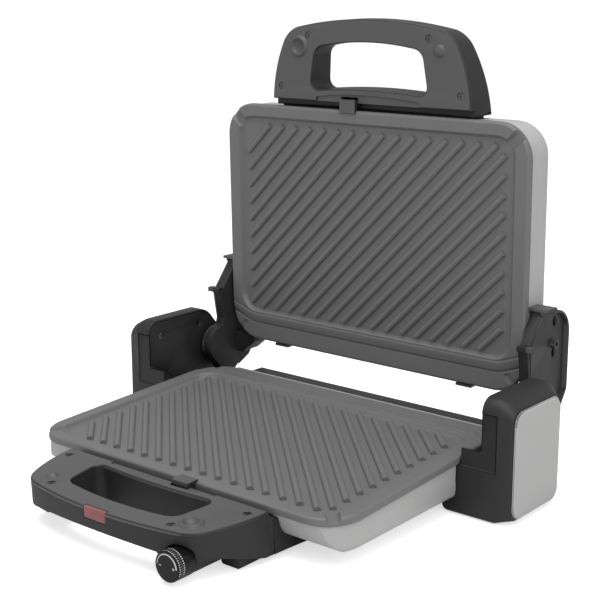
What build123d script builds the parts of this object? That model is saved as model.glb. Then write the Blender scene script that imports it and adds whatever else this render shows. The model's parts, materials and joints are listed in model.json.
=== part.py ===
from build123d import *
import math
import os

os.makedirs("parts", exist_ok=True)

# A sandwich maker for six slices, lid up. X runs across, Y to the back, Z up from the table.
# While it is built, Y is counted from the front rim of the grill plates. At the end the whole
# is moved so that the middle of its footprint is the origin.

# Grill plates and how they lie
plate_width = 345.0
plate_depth = 242.0
plate_corner = 32.0
rim_skirt = 6.5
rim_height = 55.0
drain_slope = 2.58
closing_gap = 2.0
pivot_back = 23.8
pivot_drop = 0.8
open_angle = 91.34

# Clearances and walls that many pieces share
seat_gap = 0.3
touch_gap = 0.1
pin_gap = 0.05
overrun = 2.0
far_cut = 400.0
moulded_wall = 2.5
sheet_wall = 1.6

# Grill plate details
rim_front = 12.5
rim_side = 14.5
rim_back = 30.5
recess_deep = 4.0
recess_corner = 18.0
plate_skin = 2.5
rim_round = 1.4
rib_radius = 2.9
rib_rise = 0.5
rib_pitch = 17.25
rib_start = 23.4
rib_shortest = 15.0
rib_field_side = 27.0
rib_field_front = 22.2
rib_field_back = 38.0
hinge_flange = 18.3
hinge_flange_drop = 1.5

# Heater, its reflector and the clips under each plate
heater_radius = 3.3
heater_side = 62.0
heater_front = 55.0
heater_back = 60.0
heater_turn = 28.0
heater_mouth = 26.0
heater_tail = 16.0
heater_drop = 0.2
reflector_sheet = 0.8
reflector_side = 36.0
reflector_front = 34.0
reflector_back = 32.0
reflector_corner = 20.0
reflector_drop = 10.6
reflector_lip = 4.0
saddle_length = 10.0
saddle_width = 8.0
fuse_radius = 2.6
fuse_length = 22.0
fuse_place_share = 0.62

# Silver shells
shell_inset = 1.6
base_floor = 14.5
base_round = 5.0
base_lean = 10.0
base_lean_top = 42.0
base_front_round = 18.0
base_mouth_side = 52.0
base_mouth_front = 62.0
base_mouth_back = 30.0
base_foot_gap = 3.0
base_rear_reach = 14.0
post_radius = 5.0
post_side = 54.0
post_front = 57.0
post_back = 36.0
lid_depth = 46.0
lid_round = 14.0
lid_frame_thick = 2.5
lid_frame_ring = 27.0
hook_width = 17.0
hook_middle = 109.0
hook_reach = 2.8
hook_over = 4.5

# Bottom cover
bottom_thick = 2.5
bottom_margin = 10.0
vent_count = 9
vent_pitch = 16.0
vent_length = 54.0
vent_width = 4.0

# Handles, in the plates' frame: reach is measured forward from the plates' front rim
handle_half_width = 113.0
handle_reach = 84.0
handle_clear = 1.0
handle_step = 7.0
handle_step_deep = 8.0
handle_face_drop = 1.0
handle_face_thick = 3.0
handle_side_share = (0.963, 0.417)
handle_corner_shares = ((0.871, 0.750), (0.813, 0.839), (0.730, 0.899))
grip_side = 45.5
grip_back = 16.4
grip_back_bow = 3.7
grip_taper = 7.0
grip_bar = 27.0
grip_bar_middle = 21.0
grip_round_back = 8.0
grip_round_front = 12.0
latch_bay_half = 59.0
latch_bay_side = 11.2
latch_bay_deep = 14.8
latch_bay_floor = 1.5
screw_places_shares = ((0.903, 0.232), (0.602, 0.810))
bead_inset = 33.5
bead_back = 26.2
bead_collar_radius = 10.5
bead_collar_height = 2.2
bead_cup_radius = 8.4
bead_cup_deep = 4.2
bead_radius = 7.5
bead_height = 3.0
upper_handle_tip = 22.0
upper_handle_root = 36.0
neck_inset = 6.5
neck_reach = 12.0
neck_height = 34.0
neck_start = 9.7
lower_front_drop = 33.8
lower_corner_fall = 3.0
lower_corner_inset = 36.0
leg_width = 51.0
leg_bottom = 5.0
leg_front_back = 16.2
leg_knee_back = 28.0
leg_knee_height = 17.5
leg_slope_end = 10.0
toe_back = 51.0
toe_low = 2.0
toe_high = 34.0
toe_round = 6.0
apron_deep = 32.0
foot_width = 22.0
foot_inset = 8.0
foot_back = 33.0
foot_round = 7.0

# Screws
screw_head_radius = 3.0
screw_head_thick = 1.6
screw_radius = 1.5
screw_length = 12.0
screw_post_radius = 4.2
screw_sink = 0.6

# Latches
latch_inner = 11.4
latch_outer = 29.7
latch_front = 10.3
latch_lip = 2.5
latch_proud = 1.7
latch_lip_thick = 1.4
latch_stem_front = 9.0
latch_stem_back = 4.2
latch_stem_deep = 14.0
latch_travel = 3.0
spring_radius = 2.2
spring_wire = 0.45
spring_turns = 4

# Temperature control
knob_inset = 31.0
knob_drop = 2.0
knob_room = 1.0
knob_radius = 12.4
knob_length = 18.6
knob_round = 1.2
boss_radius = 12.0
boss_front_back = 16.0
boss_back = 24.0
shaft_radius = 3.0
shaft_in_knob = 12.0
thermostat_width = 26.0
thermostat_depth = 13.0
thermostat_height = 22.0
thermostat_front = 17.0
thermostat_seat = 9.8
shaft_in_thermostat = 7.0

# Indicator
lens_half_width = 12.0
lens_height = 9.5
lens_back = 3.4
lens_wall = 2.4
lamp_radius = 2.6
lamp_length = 14.0

# Towers beside the hinge
tower_ahead = 99.8
tower_behind = 17.2
tower_bevel_cut = 12.5
tower_panel_cut = 37.0
tower_gap = 21.0
tower_flat = 14.5
tower_bulge = 14.0
tower_rise = 52.0
tower_slope_length = 33.0
tower_slope = 1.16
tower_panel_drop = 7.2
tower_panel_step = 2.6
tower_panel_slope_length = 8.0
tower_panel_shoulder_drop = 9.8
tower_front_round = 13.0
tower_top_round = 10.0
tower_rear_round = 9.0
tower_top_curve = 24.0
tower_rear_curve = 14.0
tower_low_round = 1.6
tower_panel_rise = 2.0
tower_panel_low_round = 12.0
front_recess = 1.2
front_recess_drop = 13.5
pad_height = 1.5
pad_width = 12.0
pad_margin = 3.0
tower_wall = 2.5
foot_under = 15.5
foot_lip = 11.0
foot_end_round = 6.0
foot_knee_under = 2.5
foot_knee_low = 19.0
block_gap = 1.5
block_drop = 10.4
block_rise = 5.4
block_face = 2.5
block_ramp_reach = 22.5
block_ramp_drop = 13.0
block_floor_drop = 19.5
foot_short = 9.8
hub_room = 40.5
cover_thick = 2.5
cover_drop = 13.0
cover_knee_reach = 34.0
cover_start_rise = 11.0
cover_slope_drop = 4.0
cover_slope_reach = 24.0
cover_margin = 2.6
tower_screw_front = 18.0
tower_screw_back = 45.1
tower_screw_front_drop = 16.8
tower_screw_back_drop = 14.0
panel_margin = 0.6
panel_inset = 3.2
panel_thick = 3.0

# Rear housing and mains inlet
rear_gap = 0.5
rear_low = 3.0
rear_end_drop = 32.0
rear_middle_inset = 28.5
rear_middle_drop = 10.0
rear_round = 4.0
inlet_side = 70.0
inlet_height = 24.0
inlet_radius = 9.0
inlet_bore = 4.5
inlet_flange = 2.0
inlet_flange_radius = 11.0
terminal_width = 34.0
terminal_depth = 16.0
terminal_height = 14.0

# Arms between the lid and the towers, and their pins
arm_gap = 2.5
arm_depth = 9.0
arm_cover_skin = 2.5
arm_rim_depth = 4.5
arm_wall = 2.3
hub_forward = 12.3
hub_up = 16.8
hub_radius = 18.0
pivot_boss_radius = 16.0
thrust_gap = 0.3
pin_radius = 4.0
pin_in_arm = 6.0
pin_in_tower = 8.0
pin_post_radius = 8.5
root_reach = 25.0
arm_screw_places_shares = ((0.61, 0.864), (0.60, 0.595))
arm_boss_radius = 6.5
hole_radius = 3.2
hole_tall = 4.4
arm_height = 104.8
arm_reach = 50.2
arm_end_thick = 2.7
arm_end_front_share = 0.170
arm_end_round = 24.0
arm_back_round = 12.0
arm_neck_round = 5.0
arm_rim_start_share = 0.40
arm_ledge_share = 0.720
arm_ledge_thick = 4.6
arm_ledge_forward = 15.3
arm_ledge_back = 9.0
arm_boss_share = (0.55, 0.678)
arm_boss_height = 4.5
arm_boss_ring = 4.4
arm_boss_hole = 2.0
# Outline of the arm about its pivot, as shares of its reach backward and its height.
arm_outline_shares = (
    (-0.321, 0.313), (-0.190, 0.345), (-0.150, 0.405), (-0.252, 0.676), (-0.176, 0.719),
    (0.200, 0.941), (0.200, 0.973), (1.0, 0.973), (1.0, 0.237), (0.602, -0.031), (0.280, -0.107),
)
root_depth = 20.0
root_start = 0.4
root_back = 31.0
root_tip_depth = 6.0
root_tip_width = 17.0

# Worked out from the above
pivot_y = plate_depth + pivot_back
pivot_z = rim_height - pivot_drop
half_plate = plate_width / 2
lower_front_height = rim_height - lower_front_drop
lower_corner_height = lower_front_height - lower_corner_fall
foot_outer = handle_half_width - foot_inset
foot_inner = foot_outer - foot_width
grip_half_width = handle_half_width - grip_side
grip_corner = grip_half_width - grip_taper
grip_front = handle_reach - grip_bar
grip_bow = handle_reach - grip_bar_middle
bead_half_width = handle_half_width - bead_inset
bead_reach = handle_reach - bead_back
neck_half_width = handle_half_width - neck_inset
lower_corner_side = handle_half_width - lower_corner_inset
leg_inner = handle_half_width - leg_width
leg_front = handle_reach - leg_front_back
leg_knee = handle_reach - leg_knee_back
knob_side = handle_half_width - knob_inset
knob_height = lower_corner_height - knob_drop
boss_front = handle_reach - boss_front_back
tower_inner = half_plate + tower_gap
tower_bevel = tower_inner + tower_flat
tower_outer = tower_bevel + tower_bulge
tower_front = pivot_y - tower_ahead
tower_back = pivot_y + tower_behind
tower_bevel_back = tower_back - tower_bevel_cut
tower_panel_back = tower_back - tower_panel_cut
tower_top = rim_height + tower_rise
tower_slope_start = tower_back - tower_slope_length
tower_panel_top = tower_top - tower_panel_drop
tower_panel_front = tower_front + tower_panel_step
tower_panel_slope_start = tower_panel_back - tower_panel_slope_length
tower_panel_shoulder = tower_panel_top - tower_panel_shoulder_drop
foot_end = half_plate - foot_under
foot_knee = half_plate - foot_knee_under
foot_rear = pivot_y - foot_short
block_inner = half_plate + block_gap
block_low = rim_height - block_drop
block_top = rim_height + block_rise
block_ramp_back = tower_front + block_ramp_reach
block_ramp_low = rim_height - block_ramp_drop
block_floor = rim_height - block_floor_drop
cover_low = rim_height - cover_drop
cover_knee = tower_front + cover_knee_reach
cover_start = rim_height + cover_start_rise
cover_slope_end = rim_height - cover_slope_drop
cover_slope_back = tower_front + cover_slope_reach
rear_half = tower_inner - rear_gap
rear_middle_half = half_plate - rear_middle_inset
rear_middle_height = rim_height - rear_middle_drop
rear_end_height = rim_height - rear_end_drop
base_rear_half = foot_end - base_foot_gap
arm_inner = half_plate + arm_gap
arm_split = arm_inner + arm_depth
arm_face = arm_split + arm_cover_skin
arm_rim = arm_face + arm_rim_depth
pin_inner = arm_split - pin_in_arm
pin_outer = tower_inner + pin_in_tower
root_inner = arm_inner - root_reach
tower_screw_places = (
    (tower_front + tower_screw_front, tower_top - tower_screw_front_drop),
    (tower_back - tower_screw_back, tower_top - tower_screw_back_drop),
)
handle_face_low = handle_face_drop + handle_face_thick
shell_start = rim_skirt + seat_gap
heater_level = rim_skirt + heater_drop + heater_radius
reflector_level = rim_skirt + reflector_drop

parts = {}


def block(x0, x1, y0, y1, z0, z1):
    """A box between two corners."""
    middle = ((x0 + x1) / 2, (y0 + y1) / 2, (z0 + z1) / 2)
    return Pos(*middle) * Box(abs(x1 - x0), abs(y1 - y0), abs(z1 - z0))


def slab(inset, front, back, corner, low, high):
    """A rounded plate inside the grill plate's outline, inset by its sides, front and back."""
    width = plate_width - 2 * inset
    depth = plate_depth - front - back
    face = Pos(0, front + depth / 2) * RectangleRounded(width, depth, corner)
    return Pos(0, 0, low) * extrude(face, high - low)


def rounded_face(points, radii=()):
    """A flat face through the points, with a round of its own at each corner that is named."""
    face = make_face(Polyline(*points, close=True))
    for point, radius in radii:
        corner = face.vertices().sort_by_distance(point)[0]
        face = fillet(corner, radius)
    return face


def along_x(points, x0, x1, radii=()):
    """A side view, given as (y, z) points, drawn out across the part."""
    return extrude(Plane.YZ.offset(x0) * rounded_face(points, radii), x1 - x0)


def along_y(points, y0, y1, radii=()):
    """A front view, given as (x, z) points, drawn out from front to back."""
    return extrude(Plane.XZ.offset(-y1) * rounded_face(points, radii), y1 - y0)


def rod_x(radius, x0, x1, y, z):
    """A round bar across the part."""
    return Pos((x0 + x1) / 2, y, z) * Rot(0, 90, 0) * Cylinder(radius, x1 - x0)


def rod_y(radius, y0, y1, x, z):
    """A round bar from front to back."""
    return Pos(x, (y0 + y1) / 2, z) * Rot(90, 0, 0) * Cylinder(radius, y1 - y0)


def rod_z(radius, z0, z1, x, y):
    """A round bar standing up."""
    return Pos(x, y, (z0 + z1) / 2) * Cylinder(radius, z1 - z0)


def both_sides(shape):
    """The shape and its mirror image on the left."""
    return [shape, mirror(shape, about=Plane.YZ)]


def joined(shapes):
    """All the shapes as one."""
    whole = shapes[0]
    for shape in shapes[1:]:
        whole = whole + shape
    return whole


def on_base(shape):
    """From the lower plate's frame, which slopes to the front, to the table's."""
    return Pos(0, plate_depth, rim_height) * Rot(drain_slope, 0, 0) * Pos(0, -plate_depth, 0) * shape


def on_lid(shape):
    """From the upper plate's frame, food side down, to the open lid."""
    closed = on_base(Pos(0, 0, closing_gap) * shape)
    turned = Rot(-open_angle, 0, 0) * Pos(0, -pivot_y, -pivot_z) * closed
    return Pos(0, pivot_y, pivot_z) * turned


def rib(offset_along):
    """One slanting rib of a grill plate, from edge to edge of the ribbed field."""
    half = plate_width / 2 - rib_field_side
    front = rib_field_front
    back = plate_depth - rib_field_back
    total = -half + front + rib_start + offset_along
    x_low = max(-half, total - back)
    x_high = min(half, total - front)
    start = Vector(x_low, total - x_low)
    end = Vector(x_high, total - x_high)
    middle = (start + end) / 2
    length = (end - start).length
    level = rib_rise - recess_deep
    bar = Rot(0, 90, 0) * Cylinder(rib_radius, length)
    caps = [Pos(-length / 2, 0, 0) * Sphere(rib_radius), Pos(length / 2, 0, 0) * Sphere(rib_radius)]
    return Pos(middle.X, middle.Y, level) * Rot(0, 0, -45) * joined([bar] + caps)


def rib_lines():
    """How far each rib lies from the first one."""
    half = plate_width / 2 - rib_field_side
    field = 2 * half + plate_depth - rib_field_back - rib_field_front
    count = math.floor((field - rib_start - rib_shortest) / rib_pitch) + 1
    return [index * rib_pitch for index in range(count)]


def grill_plate():
    """A cast plate: rim, sunken floor with slanting ribs, hollow skirt below."""
    body = slab(0, 0, 0, plate_corner, -rim_skirt, 0)
    body = fillet(body.edges().group_by(Axis.Z)[-1], rim_round)
    body -= slab(rim_side, rim_front, rim_back, recess_corner, -recess_deep, overrun)
    pocket = slab(plate_skin, plate_skin, plate_skin, plate_corner - plate_skin, -far_cut, -plate_skin)
    core = slab(rim_side - plate_skin, rim_front - plate_skin, rim_back - plate_skin,
                recess_corner + plate_skin, -far_cut, 0)
    pocket -= core
    flange = block(-plate_width, plate_width, plate_depth - hinge_flange, plate_depth + overrun,
                   -hinge_flange_drop, overrun)
    flange_under = block(-plate_width, plate_width, plate_depth - hinge_flange - plate_skin,
                         plate_depth + overrun, -plate_skin - hinge_flange_drop, overrun)
    body -= pocket - flange_under
    body -= flange
    return joined([body] + [rib(offset) for offset in rib_lines()])


def heater():
    """A tubular element: one bent loop with its two cold tails turned down."""
    side = plate_width / 2 - heater_side
    front = heater_front
    back = plate_depth - heater_back
    mouth = heater_mouth
    tail = -heater_level - heater_tail
    points = [(mouth, front, tail), (mouth, front, -heater_level), (side, front, -heater_level),
              (side, back, -heater_level), (-side, back, -heater_level),
              (-side, front, -heater_level), (-mouth, front, -heater_level), (-mouth, front, tail)]
    turn = heater_turn
    bend = heater_radius * 2
    path = FilletPolyline(*points, radius=[bend, turn, turn, turn, turn, bend])
    section = Plane(origin=points[0], z_dir=(0, 0, 1)) * Circle(heater_radius)
    return sweep(section, path=path)


def reflector():
    """A bright tray under the element, with saddles that carry it."""
    low = -reflector_level
    tray = slab(reflector_side, reflector_front, reflector_back, reflector_corner,
                low - reflector_sheet, low + reflector_lip)
    inner = slab(reflector_side + reflector_sheet, reflector_front + reflector_sheet,
                 reflector_back + reflector_sheet, reflector_corner - reflector_sheet,
                 low, low + reflector_lip + overrun)
    tray -= inner
    side = plate_width / 2 - heater_side
    top = -heater_level - heater_radius - touch_gap
    saddles = []
    for x in (-side, side):
        ends = (heater_front, plate_depth - heater_back)
        for y in (ends[0] + heater_turn + saddle_length, ends[1] - heater_turn - saddle_length):
            saddles.append(block(x - saddle_width / 2, x + saddle_width / 2, y - saddle_length / 2,
                                 y + saddle_length / 2, low, top))
    tray = joined([tray] + saddles)
    for x in (-heater_mouth, heater_mouth):
        tray -= rod_z(heater_radius + seat_gap, low - overrun, low + overrun, x, heater_front)
    return tray


def thermal_fuse():
    """A cut-out lying on the reflector."""
    level = -reflector_level + fuse_radius + touch_gap
    y = plate_depth * fuse_place_share
    return rod_x(fuse_radius, -fuse_length / 2, fuse_length / 2, y, level)


def share_point(share, side=1):
    """A point of the handle from shares of its half width and its reach."""
    return (side * share[0] * handle_half_width, -share[1] * handle_reach)


def handle_outline():
    """The handle's outline seen square to the plates."""
    rear = -handle_clear
    first, middle, last = handle_corner_shares
    edges = [Line((-handle_half_width, rear), (handle_half_width, rear))]
    for side in (1, -1):
        edges.append(ThreePointArc((side * handle_half_width, rear),
                                   share_point(handle_side_share, side), share_point(first, side)))
        edges.append(ThreePointArc(share_point(first, side), share_point(middle, side),
                                   share_point(last, side)))
    edges.append(ThreePointArc(share_point(last, -1), (0, -handle_reach), share_point(last, 1)))
    return make_face(edges)


def grip_opening():
    """The finger gap inside the handle."""
    left_back = (-grip_half_width, -grip_back)
    right_back = (grip_half_width, -grip_back)
    left_front = (-grip_corner, -grip_front)
    right_front = (grip_corner, -grip_front)
    back = ThreePointArc(left_back, (0, -grip_back - grip_back_bow), right_back)
    face = make_face([back, Line(right_back, right_front),
                      ThreePointArc(right_front, (0, -grip_bow), left_front),
                      Line(left_front, left_back)])
    for point in (left_back, right_back):
        face = fillet(face.vertices().sort_by_distance(point)[0], grip_round_back)
    for point in (left_front, right_front):
        face = fillet(face.vertices().sort_by_distance(point)[0], grip_round_front)
    return face


def screw_places():
    """Where the four screws of a handle stand."""
    return [share_point(share, side) for share in screw_places_shares for side in (1, -1)]


def latch_bay():
    """The bowed recess in the rear edge of a handle's face, where the latch slides."""
    left = (-latch_bay_half, -latch_bay_side)
    right = (latch_bay_half, -latch_bay_side)
    left_back = (-latch_bay_half, overrun)
    right_back = (latch_bay_half, overrun)
    return make_face([Line(left_back, left), ThreePointArc(left, (0, -latch_bay_deep), right),
                      Line(right, right_back), Line(right_back, left_back)])


def rear_step(grow):
    """The room over the step where a handle stands back from its plate."""
    wide = handle_half_width + overrun
    return block(-wide, wide, -handle_step - grow, neck_reach + overrun, -handle_step_deep - grow, overrun)


def latch_slot(side):
    """The room in a handle's face and shell for the catch's stem and its travel."""
    ends = sorted((side * (latch_inner - seat_gap), side * (latch_outer + seat_gap)))
    return block(*ends, -latch_stem_front - latch_travel - seat_gap, seat_gap - latch_stem_back,
                 -latch_stem_deep - seat_gap, overrun)


def handle_face(large_side):
    """The inner cover of a handle, with its four screw holes and two nesting beads."""
    top = -handle_face_drop
    low = -handle_face_low
    face = handle_outline() - grip_opening()
    plate = Pos(0, 0, low) * extrude(face, handle_face_thick) - rear_step(0) - latch_slot(large_side)
    plate -= Pos(0, 0, top - latch_bay_floor) * extrude(latch_bay(), handle_face_low)
    collar_x = large_side * bead_half_width
    collar_middle = top + bead_collar_height / 2
    plate += Pos(collar_x, -bead_reach, collar_middle) * Cone(bead_collar_radius, bead_cup_radius + seat_gap,
                                                              bead_collar_height)
    cup_middle = top + bead_collar_height + bead_cup_radius - bead_cup_deep
    plate -= Pos(collar_x, -bead_reach, cup_middle) * Sphere(bead_cup_radius)
    bead_middle = top + bead_height - bead_radius
    bead = Pos(-collar_x, -bead_reach, bead_middle) * Sphere(bead_radius)
    bead &= block(-handle_half_width, handle_half_width, -handle_reach, 0, low, -low)
    plate += bead
    for x, y in screw_places():
        plate -= rod_z(screw_radius + pin_gap, low - overrun, top + overrun, x, y)
        plate -= rod_z(screw_head_radius + seat_gap, top - screw_sink - screw_head_thick, top + overrun, x, y)
    return plate


def handle_screws():
    """Four screws that stand in a handle's face, heads up."""
    head_top = -handle_face_drop - screw_sink
    head_low = head_top - screw_head_thick
    screws = []
    for x, y in screw_places():
        head = rod_z(screw_head_radius, head_low, head_top, x, y)
        screws.append(head + rod_z(screw_radius, head_low - screw_length, head_low, x, y))
    return joined(screws)


def screw_posts(low):
    """Posts for the handle's screws, from the face down to the given depth."""
    posts = [rod_z(screw_post_radius, low, -handle_face_low, x, y) for x, y in screw_places()]
    return joined(posts)


def screw_bores(low):
    """Holes in those posts."""
    bores = [rod_z(screw_radius + pin_gap, low, overrun, x, y) for x, y in screw_places()]
    return joined(bores)


def handle_ring(inset, low, high):
    """The handle's ring seen from above, drawn out between two heights, or its inside by a wall."""
    outer = handle_outline()
    grip = grip_opening()
    if inset > 0:
        outer = offset(outer, -inset)
        grip = offset(grip, inset)
    return Pos(0, 0, low) * extrude(outer - grip, high - low)


def upper_handle_shell():
    """The outer shell of the lid's handle, deeper where it enters the lid."""
    deep = upper_handle_root + handle_reach
    ring = handle_ring(0, -deep, -handle_face_low)
    cave = handle_ring(moulded_wall, -deep, overrun)
    tip = handle_face_drop + upper_handle_tip
    root = handle_face_drop + upper_handle_root

    def wedge(wall):
        return along_x([(-handle_reach - overrun, overrun), (overrun, overrun), (overrun, wall - root),
                        (-handle_reach - overrun, wall - tip)], -handle_half_width, handle_half_width)

    whole = (ring & wedge(0)) - rear_step(0)
    shell = whole - ((cave & wedge(moulded_wall)) - rear_step(moulded_wall))
    neck = block(-neck_half_width, neck_half_width, -handle_clear - moulded_wall, neck_reach,
                 -neck_height, -neck_start)
    neck_cave = block(moulded_wall - neck_half_width, neck_half_width - moulded_wall,
                      -handle_clear - moulded_wall - overrun, neck_reach - moulded_wall,
                      moulded_wall - neck_height, -neck_start - moulded_wall)
    shell = shell + neck - neck_cave
    shell += screw_posts(-deep) & whole
    return shell - screw_bores(-screw_length - handle_face_low) - latch_slot(-1)


def leg_side(wall):
    """Side view of a leg of the lower handle, down to its foot."""
    front = lower_corner_height + wall
    return [(-handle_reach - overrun, front), (-leg_front, front), (-leg_knee, leg_knee_height + wall),
            (-leg_slope_end, leg_bottom + wall), (overrun, leg_bottom + wall),
            (overrun, rim_height + overrun), (-handle_reach - overrun, rim_height + overrun)]


def front_room(wall):
    """The space above the bowed underside of the lower handle's front."""
    wide = handle_half_width + overrun
    low = lower_front_height + wall
    fall = lower_corner_fall * (wide / lower_corner_side) ** 2
    top = rim_height + overrun
    face = make_face([ThreePointArc((-wide, low - fall), (0, low), (wide, low - fall)),
                      Line((wide, low - fall), (wide, top)), Line((wide, top), (-wide, top)),
                      Line((-wide, top), (-wide, low - fall))])
    return extrude(Plane.XZ.offset(-overrun) * face, handle_reach + 2 * overrun)


def cradle():
    """The toe and the neck behind the lower handle, shaped to the base's leaning front."""
    front = -handle_clear - moulded_wall
    side = along_x([(front, leg_bottom), (toe_back, toe_low), (toe_back, toe_high), (front, toe_high)],
                   -handle_half_width, handle_half_width, [((toe_back, toe_low), toe_round)])
    depth = toe_back - front
    plan = Pos(0, toe_back - depth) * RectangleRounded(2 * handle_half_width, 2 * depth, toe_round)
    side &= extrude(plan, rim_height)
    wall = moulded_wall
    cave = along_x([(wall, leg_bottom + wall), (toe_back - wall, toe_low + wall),
                    (toe_back - wall, toe_high - wall), (wall, toe_high - wall)],
                   wall - handle_half_width, handle_half_width - wall)
    neck_top = rim_height - rim_skirt - plate_depth * math.sin(math.radians(drain_slope)) - overrun
    neck = block(-neck_half_width, neck_half_width, front, base_lean, toe_high - overrun, neck_top)
    return side - cave + neck - base_body(-touch_gap)


def grip_apron():
    """The wall behind the lower handle's finger gap, drawn down below the handle's underside."""
    wall = offset(grip_opening(), moulded_wall) - grip_opening()
    deep = apron_deep - handle_face_low
    side = grip_half_width + moulded_wall
    rear = block(-side, side, -grip_back - grip_back_bow - moulded_wall, 0, -apron_deep, 0)
    return (Pos(0, 0, -apron_deep) * extrude(wall, deep)) & rear


def lower_handle_shell():
    """The lower handle with the legs, toe and control boss that carry the front of the base."""
    deep = -rim_height - overrun
    ring = on_base(handle_ring(0, deep, -handle_face_low) - rear_step(0))
    cave = on_base(handle_ring(moulded_wall, deep, overrun) - rear_step(moulded_wall))
    wide = handle_half_width + overrun
    level = front_room(0)
    level_cave = front_room(moulded_wall)
    leg = along_x(leg_side(0), leg_inner, wide)
    leg_cave = along_x(leg_side(moulded_wall), leg_inner + moulded_wall, wide)
    shell = joined([ring & level] + [ring & side for side in both_sides(leg)])
    foot = block(foot_inner, foot_outer, -foot_back, 0, pad_height, lower_corner_height)
    foot = fillet(foot.edges().filter_by(Axis.Z).group_by(Axis.Y)[0], foot_round)
    boss = rod_y(boss_radius, -boss_front, -boss_back, knob_side, knob_height)
    posts = on_base(screw_posts(deep)) & shell
    collar = rod_y(knob_radius + knob_room + moulded_wall, -handle_reach, -boss_front + moulded_wall,
                   knob_side, knob_height) & shell
    shell = joined([shell, cradle(), boss, on_base(grip_apron())] + both_sides(foot))
    shell -= joined([cave & level_cave] + [cave & side for side in both_sides(leg_cave)])
    shell += posts
    shell += collar
    shell -= rod_y(knob_radius + knob_room, -handle_reach - overrun, -boss_front, knob_side, knob_height)
    shell -= on_base(screw_bores(-screw_length - handle_face_low) + latch_slot(1))
    shell -= rod_y(shaft_radius + seat_gap, -boss_front - overrun, -thermostat_front + overrun,
                   knob_side, knob_height)
    shell -= on_base(lens_room())
    return shell


def lens_room():
    """The pocket at the front edge of the lower handle that takes the lens."""
    return block(-lens_half_width - touch_gap, lens_half_width + touch_gap, -handle_reach - overrun,
                 lens_back - handle_reach + touch_gap, -handle_face_drop - lens_height - touch_gap, overrun)


def indicator_lens():
    """The clear window wrapped over the handle's front edge."""
    top = -handle_face_drop
    whole = Pos(0, 0, top - lens_height) * extrude(handle_outline(), lens_height)
    window = whole & block(-lens_half_width, lens_half_width, -handle_reach - overrun,
                           lens_back - handle_reach, top - lens_height, top)
    hollow = block(-lens_half_width - overrun, lens_half_width + overrun, lens_wall - handle_reach,
                   overrun, top - lens_height - overrun, top - lens_wall)
    return window - hollow


def indicator_lamp():
    """The glow lamp lying behind the window."""
    level = -handle_face_low - seat_gap - lamp_radius
    back = lens_back - handle_reach + lamp_radius + seat_gap
    return rod_x(lamp_radius, -lamp_length / 2, lamp_length / 2, back, level)


def latch():
    """The sliding catch that hooks over a plate's front rim."""
    lip = block(latch_inner, latch_outer, -latch_front, latch_lip, latch_proud - latch_lip_thick,
                latch_proud)
    low = touch_gap - handle_face_drop - latch_bay_floor
    tab = block(latch_inner, latch_outer, -latch_front, -seat_gap - seat_gap, low, latch_proud)
    stem = block(latch_inner, latch_outer, -latch_stem_front, -latch_stem_back, -latch_stem_deep,
                 low + seat_gap)
    return lip + tab + stem


def latch_spring():
    """The coil between the latch's stem and the handle's wall."""
    back = -latch_stem_front - spring_wire - touch_gap
    share = (latch_outer + spring_radius) / grip_half_width
    wall = grip_back + grip_back_bow * (1 - share ** 2)
    front = moulded_wall - wall + spring_wire + seat_gap
    pitch = (back - front) / spring_turns
    path = Helix(pitch=pitch, height=back - front, radius=spring_radius)
    section = Plane(origin=path @ 0, z_dir=path % 0) * Circle(spring_wire)
    coil = sweep(section, path=path, is_frenet=True)
    x = (latch_inner + latch_outer) / 2
    z = -(latch_stem_deep + handle_face_low) / 2
    return Pos(x, front, z) * Rot(-90, 0, 0) * coil


def base_side(shrink):
    """Side view of the base: the front wall leans back below the plate's rim."""
    front = shell_inset + shrink
    low = base_floor + shrink
    high = base_floor + shrink + rim_height
    return [(front, high), (front, base_lean_top), (front + base_lean, low), (far_cut, low), (far_cut, high)]


def base_body(shrink):
    """The base's outside, or its inside by a wall: wide in front, narrower between the towers."""
    inset = shell_inset + shrink
    half = plate_width / 2 - inset
    front_end = tower_front - seat_gap - shrink
    depth = front_end - inset
    outline = Pos(0, inset + depth / 2) * RectangleRounded(2 * half, depth, plate_corner - inset)
    outline += Pos(0, inset + depth * 3 / 4) * Rectangle(2 * half, depth / 2)
    wide = Pos(0, 0, base_floor + shrink) * extrude(outline, rim_height)
    low = wide.edges().group_by(Axis.Z)[0].sort_by(Axis.Y)[:-1]
    wide = fillet(low, base_round - shrink)
    wide &= along_x(base_side(shrink), -half, half, [(base_side(shrink)[2], base_front_round - shrink)])
    rear = base_rear_half - shrink
    narrow = block(-rear, rear, inset + depth / 2, plate_depth + base_rear_reach - shrink,
                   base_floor + shrink, base_floor + shrink + rim_height)
    low = narrow.edges().group_by(Axis.Z)[0].sort_by(Axis.Y)[1:]
    narrow = fillet(low, base_round - shrink)
    return wide + narrow


def base_shell():
    """The silver tray of the base: sloping top edge, rounded floor, posts for the reflector."""
    shell = base_body(0) - base_body(sheet_wall)
    mouth = slab(base_mouth_side, base_mouth_front, base_mouth_back, post_radius, 0, rim_height)
    shell -= mouth
    posts = [rod_z(post_radius, base_floor, rim_height, x, y) for x, y in base_screw_places()]
    under = on_base(block(-plate_width, plate_width, -far_cut, far_cut, -far_cut,
                          -reflector_level - reflector_sheet - touch_gap))
    shell += joined(posts) & under
    shell -= on_base(block(-plate_width, plate_width, -far_cut, far_cut, -shell_start, far_cut))
    bore = screw_radius + pin_gap
    bores = [rod_z(bore, 0, base_floor + screw_length, x, y) for x, y in base_screw_places()]
    return shell - joined(bores)


def base_screw_places():
    """Where the bottom cover is screwed to the base."""
    side = plate_width / 2 - post_side
    return [(x, y) for x in (-side, side) for y in (post_front, plate_depth - post_back)]


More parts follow.
